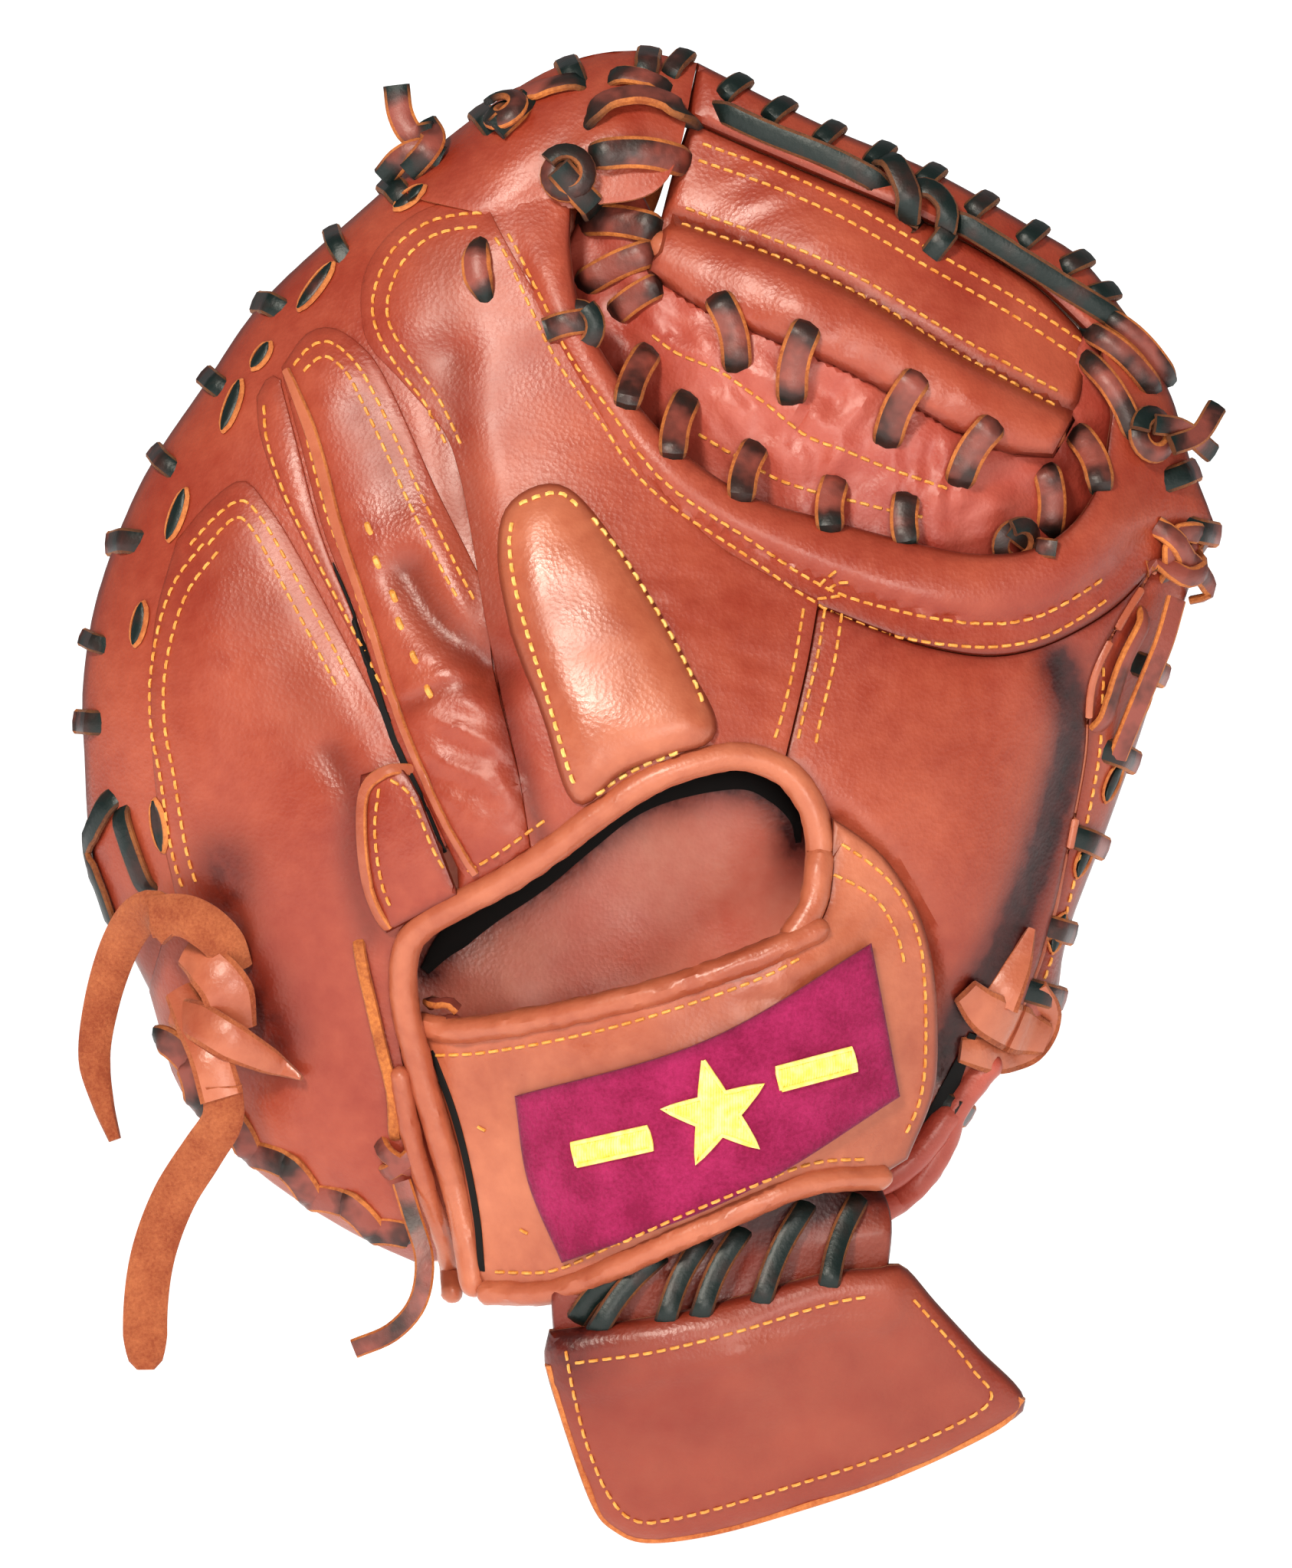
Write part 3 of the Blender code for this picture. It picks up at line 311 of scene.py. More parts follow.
def folds(points, zones):
    """The height that puckered places add."""
    lift = np.zeros(len(points))
    for number, (u, v, reach, high, turn, wave) in enumerate(zones):
        gap = points - (u, v)
        near = np.flatnonzero((gap ** 2).sum(1) < (2 * reach) ** 2)
        if not len(near):
            continue
        turn = math.radians(turn)
        along = gap[near, 0] * math.cos(turn) + gap[near, 1] * math.sin(turn)
        across = -gap[near, 0] * math.sin(turn) + gap[near, 1] * math.cos(turn)
        rough = [noise.noise(Vector((a / (wave * 4), c / wave, 7.3 * number)))
                 for a, c in zip(along, across)]
        fade = np.exp(-((gap[near] ** 2).sum(1)) / reach ** 2)
        lift[near] += high * fade * (1 - 2.4 * np.abs(np.array(rough)))
    return lift


def undulation(points, high, wave, seed=0.0):
    """Gentle unevenness of hand-worked leather."""
    return high * np.array([noise.noise(Vector((u / wave, v / wave, seed))) for u, v in points])


def worked(points):
    """The back's surface with its creases and puckers, and the painted shade in its creases."""
    high = back(points) + folds(points, WRINKLES) + undulation(points, 0.5, 24.0)
    dark = np.zeros(len(points))
    for line, depth, width, tone in CREASES:
        d = distance(points, smooth_run(line), closed=False)
        high = high - depth * np.exp(-(d / width) ** 2)
        # Painted shade: the colour darkens along each crease.
        dark = np.maximum(dark, tone * np.exp(-(d / width) ** 2))
    return high, dark


# ---------------------------------------------------------------- materials

def linear(colour):
    return (*[(channel / 255) ** 2.2 for channel in colour], 1)


class Finish:
    """A material made node by node."""

    def __init__(self, name, rough, **inputs):
        self.made = bpy.data.materials.new(name)
        self.made.use_nodes = True
        self.nodes = self.made.node_tree.nodes
        self.links = self.made.node_tree.links
        self.shader = self.nodes["Principled BSDF"]
        self.place = self.nodes.new("ShaderNodeTexCoord").outputs["Object"]
        self.set(self.shader, "Roughness", rough)
        for key, value in inputs.items():
            self.set(self.shader, key.replace("_", " "), value)

    def set(self, node, key, value):
        if isinstance(value, bpy.types.NodeSocket):
            self.links.new(value, node.inputs[key])
        else:
            node.inputs[key].default_value = value

    def node(self, kind, output, **inputs):
        node = self.nodes.new(kind)
        for key, value in inputs.items():
            self.set(node, key.replace("_", " "), value)
        return node.outputs[output]

    def noise(self, scale, detail=3.0, rough=0.55, stretch=None):
        place = self.place
        if stretch:
            place = self.node("ShaderNodeMapping", "Vector", Vector=self.place, Scale=stretch)
        return self.node("ShaderNodeTexNoise", "Fac", Vector=place, Scale=scale, Detail=detail,
                         Roughness=rough)

    def colour(self, value):
        self.set(self.shader, "Base Color", value)

    def ramp(self, fac, *stops):
        node = self.nodes.new("ShaderNodeValToRGB")
        self.links.new(fac, node.inputs["Fac"])
        ramp = node.color_ramp
        for at, colour in stops[2:]:
            ramp.elements.new(at)
        for element, (at, colour) in zip(ramp.elements, sorted(stops)):
            element.position = at
            element.color = colour if len(colour) == 4 else linear(colour)
        return node.outputs["Color"]

    def mix(self, fac, a, b):
        node = self.nodes.new("ShaderNodeMix")
        node.data_type = "RGBA"
        for socket, value in ((0, fac), (6, a), (7, b)):
            self.set(node, socket, value)
        return node.outputs[2]

    def math(self, kind, a, b):
        node = self.nodes.new("ShaderNodeMath")
        node.operation = kind
        self.set(node, 0, a)
        self.set(node, 1, b)
        return node.outputs[0]

    def attribute(self, name):
        node = self.nodes.new("ShaderNodeAttribute")
        node.attribute_name = name
        return node.outputs["Fac"]

    def bump(self, height, distance, strength=1.0):
        node = self.nodes.new("ShaderNodeBump")
        node.inputs["Distance"].default_value = distance
        node.inputs["Strength"].default_value = strength
        self.links.new(height, node.inputs["Height"])
        if self.shader.inputs["Normal"].is_linked:
            self.links.new(self.shader.inputs["Normal"].links[0].from_socket, node.inputs["Normal"])
        self.links.new(node.outputs["Normal"], self.shader.inputs["Normal"])


BLACK = (22, 20, 20)


def leather(name, pale, full, deep, rough=0.4, grain=0.00016):
    """Grained leather, mottled from pale to full, and darker where the tone attribute says."""
    finish = Finish(name, rough, Coat_Weight=0.2, Coat_Roughness=0.3)
    cloud = finish.noise(22.0, 4.0)
    speck = finish.noise(240.0, 3.0)
    colour = finish.ramp(finish.math("ADD", finish.math("MULTIPLY", cloud, 0.8),
                                     finish.math("MULTIPLY", speck, 0.2)), (0.36, full), (0.66, pale))
    tone = finish.attribute("tone")
    uneven = finish.math("ADD", tone, finish.math("MULTIPLY", finish.math("SUBTRACT", speck, 0.5),
                                                  finish.math("MULTIPLY", tone, 0.9)))
    shade = finish.ramp(uneven, (0.35, linear(deep)), (0.85, linear((20, 12, 11))))
    amount = finish.ramp(uneven, (0.0, (0, 0, 0, 1)), (0.5, (1, 1, 1, 1)))
    finish.colour(finish.mix(amount, colour, shade))
    low = (rough - 0.08,) * 3 + (1,)
    high = (rough + 0.12,) * 3 + (1,)
    finish.set(finish.shader, "Roughness", finish.ramp(finish.noise(60.0, 3.0), (0.3, low), (0.7, high)))
    cell = finish.node("ShaderNodeTexVoronoi", "Distance", Vector=finish.place, Scale=950.0)
    finish.bump(cell, grain, 0.5)
    finish.bump(finish.noise(2600.0, 2.0), grain * 0.6, 0.5)
    finish.bump(finish.noise(330.0, 4.0, 0.6), grain * 1.2, 0.35)
    return finish.made


def nap(name, pale, full, rough, fuzz, scale, sheen=0.4):
    """Napped surface such as suede or felt."""
    finish = Finish(name, rough, Sheen_Weight=sheen, Sheen_Roughness=0.4)
    cloud = finish.noise(scale * 0.08, 4.0)
    fibre = finish.noise(scale, 5.0, 0.7)
    mixed = finish.math("ADD", finish.math("MULTIPLY", cloud, 0.5), finish.math("MULTIPLY", fibre, 0.5))
    colour = finish.ramp(mixed, (0.38, full), (0.62, pale))
    tone = finish.attribute("tone")
    finish.colour(finish.mix(tone, colour, linear(BLACK)))
    finish.bump(fibre, fuzz, 0.9)
    return finish.made


def strand(name, pale, full, rough=0.5):
    """Waxed thread, with its twist."""
    finish = Finish(name, rough)
    finish.colour(finish.ramp(finish.noise(420.0, 3.0), (0.35, full), (0.65, pale)))
    finish.bump(finish.noise(2400.0, 2.0, stretch=(1.0, 1.0, 0.4)), 0.00025, 0.8)
    return finish.made


def lace_face():
    """Waxed lace: nearly black with green in it, rubbed to a dull rose where it has been pulled."""
    finish = Finish("lace", 0.42, Coat_Weight=0.08, Coat_Roughness=0.3)
    wear_and_hump_shade = finish.math("MULTIPLY", finish.noise(75.0, 3.0), 0.9)
    dark = finish.math("SUBTRACT", finish.math("MULTIPLY", finish.attribute("tone"), 0.42), 0.12)
    rub = finish.math("SUBTRACT", wear_and_hump_shade, dark)
    colour = finish.ramp(rub, (0.26, (22, 36, 34)), (0.42, (62, 40, 36)), (0.60, (140, 76, 66)))
    finish.colour(colour)
    finish.bump(finish.noise(700.0, 4.0, 0.6), 0.0003, 0.5)
    return finish.made


def plain(name, colour, rough):
    finish = Finish(name, rough)
    darker = tuple(channel * 0.8 for channel in colour)
    finish.colour(finish.ramp(finish.noise(300.0, 3.0), (0.3, colour), (0.8, darker)))
    return finish.made


LOOKS = {
    "shell": leather("shell_leather", (170, 87, 65), (142, 58, 42), (78, 20, 14), 0.38),
    "tan": leather("tan_leather", (192, 117, 88), (158, 83, 60), (94, 36, 24), 0.34, 0.00011),
    # The lining is paler than the shell: partly its own lighter leather, partly painted light that brightens
    # it where it lies in shade inside the hand opening.
    "lining": leather("lining_leather", (244, 168, 146), (228, 128, 108), (104, 34, 28), 0.4),
    "strip": leather("strip_leather", (186, 98, 82), (156, 62, 50), (90, 28, 22), 0.42),
    "raw": nap("raw_edge", (204, 130, 76), (164, 88, 48), 0.8, 0.0003, 900.0, 0.1),
    "cut": nap("lace_side", (204, 126, 66), (150, 80, 42), 0.7, 0.0003, 900.0, 0.1),
    "suede": nap("suede", (178, 106, 70), (142, 72, 46), 0.9, 0.0004, 1300.0, 0.15),
    "felt": nap("felt", (222, 212, 196), (190, 178, 160), 0.95, 0.0004, 900.0),
    "patch": nap("patch_felt", (168, 44, 96), (132, 20, 68), 0.95, 0.0005, 1100.0, 0.15),
    "thread": strand("golden_thread", (236, 172, 92), (204, 132, 58)),
    "cream": strand("cream_thread", (246, 204, 122), (222, 166, 84)),
    "gold": strand("embroidery_thread", (255, 240, 150), (246, 214, 96), 0.45),
    "lace": lace_face(),
    # Black for the strips that stand for shadow in gaps and openings: painted shadow.
    "black": plain("hole_black", (16, 15, 15), 0.8),
}


# ---------------------------------------------------------------- making meshes

def mesh_object(name, points, faces, marks, finishes, tone=None, sharp=35):
    """A mesh object of these (u, v, w) points. marks gives each face's finish."""
    mesh = bpy.data.meshes.new(name)
    mesh.from_pydata(place(points).tolist(), [], [tuple(face) for face in faces])
    for finish in finishes:
        mesh.materials.append(LOOKS[finish])
    mesh.polygons.foreach_set("material_index", np.array(marks, np.int32))
    if tone is not None:
        layer = mesh.attributes.new("tone", "FLOAT", "POINT")
        layer.data.foreach_set("value", np.clip(tone, 0, 1).astype(np.float32))
    shape = bmesh.new()
    shape.from_mesh(mesh)
    bmesh.ops.recalc_face_normals(shape, faces=shape.faces)
    shape.to_mesh(mesh)
    shape.free()
    mesh.shade_smooth()
    mesh.set_sharp_from_angle(angle=math.radians(sharp))
    made = bpy.data.objects.new(name, mesh)
    bpy.context.collection.objects.link(made)
    return made


def fix(piece, body, slot, *nodes):
    """Puts the piece on its body, or across the fold or the flap's laces, for the nodes it shows."""
    if nodes:
        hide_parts(*nodes)
    if body == "fold":
        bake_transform(piece)
    elif body == "flap_laces":
        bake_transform(piece)
    else:
        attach(piece, body)
    return piece


SKINS = {}


def remember(side, points, faces):
    """Keeps a skin's triangles, so that stitches and laces can be laid on it."""
    kept = SKINS.setdefault(side, ([], []))
    start = len(kept[0])
    kept[0].extend(map(tuple, points))
    kept[1].extend(tuple(i + start for i in face) for face in faces)


def settle():
    """Makes the skins ready to be touched."""
    for side, (points, faces) in list(SKINS.items()):
        SKINS[side] = BVHTree.FromPolygons(points, faces)


def touch(run, lift=0.0, side="back"):
    """The points where the run of (u, v) meets that side's outermost skin, and the normals there."""
    sign = -1.0 if side == "palm" else 1.0
    found, normals = [], []
    last = None
    for u, v in np.asarray(run, float)[:, :2]:
        hit = SKINS[side].ray_cast(Vector((u, v, sign * 300.0)), Vector((0, 0, -sign)))
        if hit[0] is None:
            near = SKINS[side].find_nearest(Vector((u, v, last[2] if last is not None else 40.0)))
            point, normal = np.array((u, v, near[0].z)), np.array(near[1])
        else:
            point, normal = np.array(hit[0]), np.array(hit[1])
        normal = normal if normal[2] * sign > 0 else -normal
        found.append(point)
        normals.append(normal)
        last = point
    found, normals = np.array(found), unit(np.array(normals))
    return found + normals * np.reshape(lift, (-1, 1)), normals


def filled(rings, spacing):
    """Points and triangles that fill the first ring, with the other rings' points among them."""
    rim = rings[0]
    extra = []
    for number, ring in enumerate(rings[1:]):
        by = np.median(distance(ring, rim))
        keep = inside(ring, rim) & (distance(ring, rim) > 0.8 * by)
        extra.append(ring[keep])
    deep = np.median(distance(rings[-1], rim)) if len(rings) > 1 else 0.0
    low, high = rim.min(0), rim.max(0)
    row_step = spacing * math.sqrt(0.75)
    rows = np.arange(math.floor(low[1] / row_step), math.ceil(high[1] / row_step) + 1)
    columns = np.arange(math.floor(low[0] / spacing) - 1, math.ceil(high[0] / spacing) + 1)
    grid = np.array([((c + 0.5 * (r % 2)) * spacing, r * row_step) for r in rows for c in columns])
    grid = grid[inside(grid, rim)]
    grid = grid[distance(grid, rim) > deep + 0.45 * spacing]
    points = np.vstack([rim] + extra + [grid])
    count = len(rim)
    edges = [(i, (i + 1) % count) for i in range(count)]
    found = geometry.delaunay_2d_cdt([Vector(p) for p in points], edges, [list(range(count))], 1, 1e-5)
    return np.array([tuple(p) for p in found[0]]), [tuple(face) for face in found[2]]


def panel(name, loop, top, finishes, thick=LEATHER, edge=1.2, out=1, spacing=2.6, puff=0.0, reach=7.0,
          rim_tone=0.35, side=None, under=None):
    """A closed leather panel over the loop. top(points) gives its outer face, or that and its tone.

    out is 1 for a face towards the back of the hand and -1 for one towards the ball. The face rounds
    over by edge at the outline and swells by puff inside it.
    """
    rings = [loop, inset(loop, 0.3 * edge), inset(loop, edge)]
    flat, triangles = filled(rings, spacing)
    count = len(flat)
    d = distance(flat, loop)
    result = top(flat)
    high, tone = result if isinstance(result, tuple) else (result, 0.0)
    base = high.copy()
    high = high + out * (puff * (1 - np.exp(-(d / reach) ** 2)) - edge * (1 - swell(d, edge)))
    # Painted shade where panels meet: the face darkens within about a millimetre of its outline.
    tone = np.maximum(tone, rim_tone * np.exp(-(d / 1.1) ** 2))
    low = under(flat) if under else base - out * thick
    points = np.vstack((np.column_stack((flat, high)), np.column_stack((flat, low))))
    uses = {}
    for a, b, c in triangles:
        for pair in ((a, b), (b, c), (c, a)):
            uses[tuple(sorted(pair))] = uses.get(tuple(sorted(pair)), 0) + 1
    rim = [pair for pair, times in uses.items() if times == 1]
    faces = list(triangles) + [(c + count, b + count, a + count) for a, b, c in triangles]
    faces += [(a, b, b + count, a + count) for a, b in rim]
    marks = [0] * len(triangles) + [1] * (len(triangles) + len(rim))
    if side:
        remember(side, points[:count], triangles)
    return mesh_object(name, points, faces, marks, finishes, np.concatenate((tone, tone)))


def skin(name, loop, top, body, *nodes, finishes=("shell", "raw"), slot="shell_leather", side="back",
         **shape):
    """A leather panel on its body, for the nodes that it shows."""
    return fix(panel(name, loop, top, finishes, side=side, **shape), body, slot, *nodes)


class Sweep:
    """Closed swept bodies gathered into one mesh. dark is their tone, and end_tone adds to it at the ends."""

    def __init__(self, end_tone=0.0, dark=0.0):
        self.end_tone = end_tone
        self.dark = dark
        self.points = []
        self.faces = []
        self.marks = []
        self.tones = []

    def rings(self, rings, marks):
        """A body through these rings of points. marks gives the finish of each strip round it."""
        sides = rings.shape[1]
        start = len(self.points)
        self.points.extend(rings.reshape(-1, 3))
        self.tones.extend(np.repeat(self.dark + np.linspace(-1, 1, len(rings)) ** 2 * self.end_tone, sides))
        for i in range(len(rings) - 1):
            for k in range(sides):
                a = start + i * sides + k
                b = start + i * sides + (k + 1) % sides
                self.faces.append((a, b, b + sides, a + sides))
                self.marks.append(marks[k])
        last = start + (len(rings) - 1) * sides
        self.faces.append(tuple(range(start + sides - 1, start - 1, -1)))
        self.faces.append(tuple(range(last, last + sides)))
        self.marks.extend((marks[0], marks[0]))

    def ribbon(self, path, facing, wide=LACE_WIDE, thick=LACE_THICK, flip=False, crown=0.25):
        """A lace along the path: finish 0 on the face that looks the facing way, 1 on its raw sides."""
        path = np.asarray(path, float)
        run = unit(np.gradient(path, axis=0))
        facing = np.broadcast_to(facing, path.shape)
        up = unit(facing - (facing * run).sum(1)[:, None] * run)
        across = np.cross(run, up)
        wide = np.broadcast_to(wide, len(path))[:, None, None]
        half, rise = 0.5, 0.5 * thick
        bevel = 0.11
        shape = np.array([(-half, -0.5), (-half, 0.35), (-half + bevel, 1), (0, 1 + crown), (half - bevel, 1),
                          (half, 0.35), (half, -0.5), (half - 0.08, -1), (-half + 0.08, -1)])
        rings = (path[:, None] + across[:, None] * shape[None, :, :1] * wide
                 + up[:, None] * shape[None, :, 1:] * rise)
        face = 1 if flip else 0
        self.rings(rings, [1, 1, face, face, 1, 1, 1, 1, 1])

    def wall(self, line, low, top, profile):
        """A closed band along the line from low to top. profile gives (how far in, share of the height)."""
        rings = np.zeros((len(line), len(profile), 3))
        for k, (deep, share) in enumerate(profile):
            rings[:, k, :2] = beside(line, -deep)
            rings[:, k, 2] = low + (top - low) * share
        self.rings(rings, [0] * len(profile))

    def tube(self, path, wide, tall=None, facing=(0, 0, 1), sides=14, cap=0.5, mark=0, rough=0.0, seed=0.0):
        """A round or oval roll along the path, with rounded ends. rough puckers it."""
        path = np.asarray(path, float)
        tall = wide if tall is None else tall
        run = unit(np.gradient(path, axis=0))
        facing = np.broadcast_to(facing, path.shape)
        up = unit(facing - (facing * run).sum(1)[:, None] * run)
        across = np.cross(run, up)
        scale = np.ones(len(path))
        if cap:
            tips = [(path[0] - run[0] * wide * cap * x, up[0], across[0], math.sqrt(1 - x * x))
                    for x in (0.98, 0.85, 0.6, 0.3)]
            ends = [(path[-1] + run[-1] * wide * cap * x, up[-1], across[-1], math.sqrt(1 - x * x))
                    for x in (0.3, 0.6, 0.85, 0.98)]
            path = np.vstack([tip[0] for tip in tips] + [path] + [end[0] for end in ends])
            up = np.vstack([tip[1] for tip in tips] + [up] + [end[1] for end in ends])
            across = np.vstack([tip[2] for tip in tips] + [across] + [end[2] for end in ends])
            scale = np.concatenate(([tip[3] for tip in tips], scale, [end[3] for end in ends]))
        turn = 2 * math.pi * np.arange(sides) / sides
        rings = np.zeros((len(path), sides, 3))
        for i in range(len(path)):
            swollen = np.ones(sides)
            if rough:
                around = [Vector((i * 0.45, 3 * math.cos(t), 3 * math.sin(t) + seed)) for t in turn]
                swollen += rough * np.array([noise.noise(spot) for spot in around])
            rings[i] = (path[i] + across[i] * (np.cos(turn) * swollen * scale[i] * wide / 2)[:, None]
                        + up[i] * (np.sin(turn) * swollen * scale[i] * tall / 2)[:, None])
        self.rings(rings, [mark] * sides)

    def stitches(self, line, long=2.6, gap=0.6, thick=0.8, side="back", mark=0, sink=0.35, slant=0.0):
        """A row of stitches laid on a skin along the line of (u, v)."""
        line = smooth_run(line, 1.0)
        along = np.concatenate(([0], np.cumsum(np.linalg.norm(np.diff(line, axis=0), axis=1))))
        turn = 2 * math.pi * np.arange(6) / 6
        count = max(1, int(along[-1] / (long + gap)))
        for k in range(count):
            at = k * (long + gap) + long * np.array((0.0, 0.12, 0.5, 0.88, 1.0))
            run = np.column_stack([np.interp(at, along, line[:, j]) for j in range(2)])
            if slant:
                way = unit(run[-1] - run[0])
                run = run + np.outer(np.linspace(-slant, slant, 5), (-way[1], way[0]))
            rise = thick * np.array((-0.55, 0.12, 0.32, 0.12, -0.55)) + 0.1
            path, normals = touch(run, rise - sink * 0.2, side)
            way = unit(path[-1] - path[0])
            across = unit(np.cross(way, normals))
            fat = thick / 2 * np.array((0.45, 0.95, 1.0, 0.95, 0.45))
            rings = (path[:, None] + across[:, None] * (np.cos(turn)[None, :, None] * fat[:, None, None])
                     + normals[:, None] * (np.sin(turn)[None, :, None] * fat[:, None, None]))
            self.rings(rings, [mark] * 6)

    def strip(self, line, lift=1.0, wide=LACE_WIDE, thick=LACE_THICK, crown=0.25, flip=False, **fall):
        """A lace laid on a skin along the line of (u, v), with its ends dipping into the leather."""
        path, normals = laid(line, lift, **fall)
        self.ribbon(path, normals, wide, thick, flip=flip, crown=crown)

    def put(self, name, body, *nodes, finishes=("lace", "cut"), slot="lace_leather"):
        """Makes the mesh and puts it on its body, for the nodes that it shows."""
        piece = mesh_object(name, np.array(self.points), self.faces, self.marks, finishes,
                            np.array(self.tones), sharp=40)
        return fix(piece, body, slot, *nodes)


# ---------------------------------------------------------------- where things lie

def raised(by, bulge=None):
    """The worked back surface raised by this much, with a bulge(points) added."""
    def top(points):
        high, dark = worked(points)
        return high + by + (bulge(points) if bulge else 0.0), dark
    return top


def ridge(points, line, high, wide):
    """A rounded ridge along the line."""
    d = distance(points, smooth_run(line), closed=False)
    return high * np.sqrt(np.clip(1 - (d / wide) ** 2, 0, 1))


def laid(line, lift=1.0, dip=2.5, fade=4.0, step=1.5, side="back"):
    """A lace's path on a skin along the line of (u, v), with its ends dipping into the leather."""
    run = smooth_run(line, step)
    along = np.concatenate(([0], np.cumsum(np.linalg.norm(np.diff(run, axis=0), axis=1))))
    near = np.minimum(along, along[-1] - along)
    lifts = lift - (lift + dip) * (1 - np.clip(near / fade, 0, 1)) ** 2
    path, normals = touch(run, lifts, side)
    soft = np.vstack((path[:1], (path[:-2] + 2 * path[1:-1] + path[2:]) / 4, path[-1:]))
    return soft, normals


def beside(line, by):
    """The line moved to its left by this much."""
    run = unit(np.gradient(line, axis=0))
    return line + by * np.column_stack((-run[:, 1], run[:, 0]))


def arch(a, b, lift=1.4, dip=2.5, side="back", bow=0.0):
    """A lace's path pulled tight over whatever lies between a and b, going into the leather at each."""
    run = np.array(a, float) + np.outer(np.linspace(0, 1, 9), np.array(b, float) - a)
    run += np.outer(np.sin(np.linspace(0, math.pi, 9)) * bow, beside(np.array((a, b), float), 1.0)[0] - a)
    path, _ = touch(run, 0.0, side)
    high = path[:, 2] + lift
    high[0] -= lift
    high[-1] -= lift
    tight = high.copy()
    for i in range(1, 8):
        for j in range(i):
            for k in range(i + 1, 9):
                tight[i] = max(tight[i], high[j] + (high[k] - high[j]) * (i - j) / (k - j))
    start = (*run[0], path[0, 2] - dip)
    end = (*run[-1], path[-1, 2] - dip)
    body = np.column_stack((run, tight))[[1, 3, 5, 7]]
    return smooth_run(np.vstack(([start], body, [end])), 1.2)


def ring_knot(sweep, middle, radius, turns, start, tails, wide=5.0, lift=1.6):
    """An overhand knot seen end on: a lace wound on its edge round the middle, with flat tails."""
    middle = np.array(middle, float)
    centre, normal = touch([middle], lift + 0.3 * wide)
    centre, normal = centre[0], normal[0]
    across = unit(np.cross(normal, (0.0, 1.0, 0.0)))
    up = np.cross(across, normal)
    t = np.linspace(0, 1, int(turns * 20) + 1)
    angle = start + 2 * math.pi * turns * t
    reach = radius * (1 - 0.30 * t)
    out = np.cos(angle)[:, None] * across + np.sin(angle)[:, None] * up
    path = centre + out * reach[:, None] + normal * (1.5 - 2.6 * t)[:, None]
    sweep.ribbon(path, unit(0.55 * out + normal), wide, 1.7, crown=0.3)
    for points, width in tails:
        line = smooth_run(points, 1.2)
        path, normals = touch(line, 0.0)
        share = np.linspace(0, 1, len(path))
        path[:, 2] = path[:, 2] * share + (centre[2] + 1.5) * (1 - share) + 1.2
        sweep.ribbon(path, (0, 0, 1), width, 1.8)


# ---------------------------------------------------------------- the leathers

WEB_LOW = [(8, 144), (20, 135), (40, 126), (60, 117), (80, 106), (92, 101), (104, 100)]
WEB_B = [(14, 157), (28, 152), (42, 146), (60, 137), (80, 125), (98, 116), (109, 111)]
WEB_B_LINE = smooth_run(WEB_B)[::-1]
STALL_EDGE = [(-104, 81), (-109, 62), (-110, 40), (-108, 15), (-104, -4)]
PINKY_STALL = [
    (-55, 41), (-66, 62), (-76, 80), (-82, 89), (-88, 95), (-96, 90), STALL_EDGE[0],
]
MIDDLE_STALL = [
    (-79, 122), (-73, 130), (-66, 131), (-58, 125), (-53, 117), (-47, 104), (-42, 93), (-37, 83),
    (-33, 75), (-29, 66), (-28, 50), (-22, 26), (-19, 8),
]
INDEX_STALL = [
    (-27, 48), (-30, 62), (-33, 80), (-36, 95), (-40, 106), (-50, 118), (-58, 127), (-60, 136), (-59, 145),
    (-54, 153), (-46, 159), (-38, 161), (-30, 160),
]
T_SEAM = [(48, 66), (45, 50), (40, 29)]
COLLAR_INNER = [
    (-10, 160), (-10, 148), (-7, 133), (3, 116), (15, 102), (31, 91), (50, 85), (69, 80), (84, 77),
    (98, 78), (108, 84), (115, 95), (118, 110),
]
OPENING_END = [(40, 29), (49, 17), (52, 6), (51, -6), (56, -30), (64, -60)]
HEEL_ROLL = [(-52, -27), (-49, -46), (-45, -63), (-40, -79), (-37, -90)]


# Where the finger stalls open, between the lining and the back leather. The lining is darkened along it as
# painted shade, under a black strip of painted shadow.
FINGER_HOLE = [
    (-45.5, -22), (-40, -15.3), (-30.7, -8), (-18.4, -0.2), (-7.2, 8.8), (4, 17.2), (15.3, 21.7),
    (29.8, 23.9), (37.7, 21), (43, 15), (44, 9),
]
INDEX_PAD = [
    (-24, 58), (-27, 74), (-26, 86), (-20, 92), (-12, 93), (-4, 86), (8, 68), (18, 50), (24, 38), (22, 32),
    (12, 29), (2, 25), (-6, 18), (-11, 21), (-16, 37), (-21, 50), (-24, 58),
]


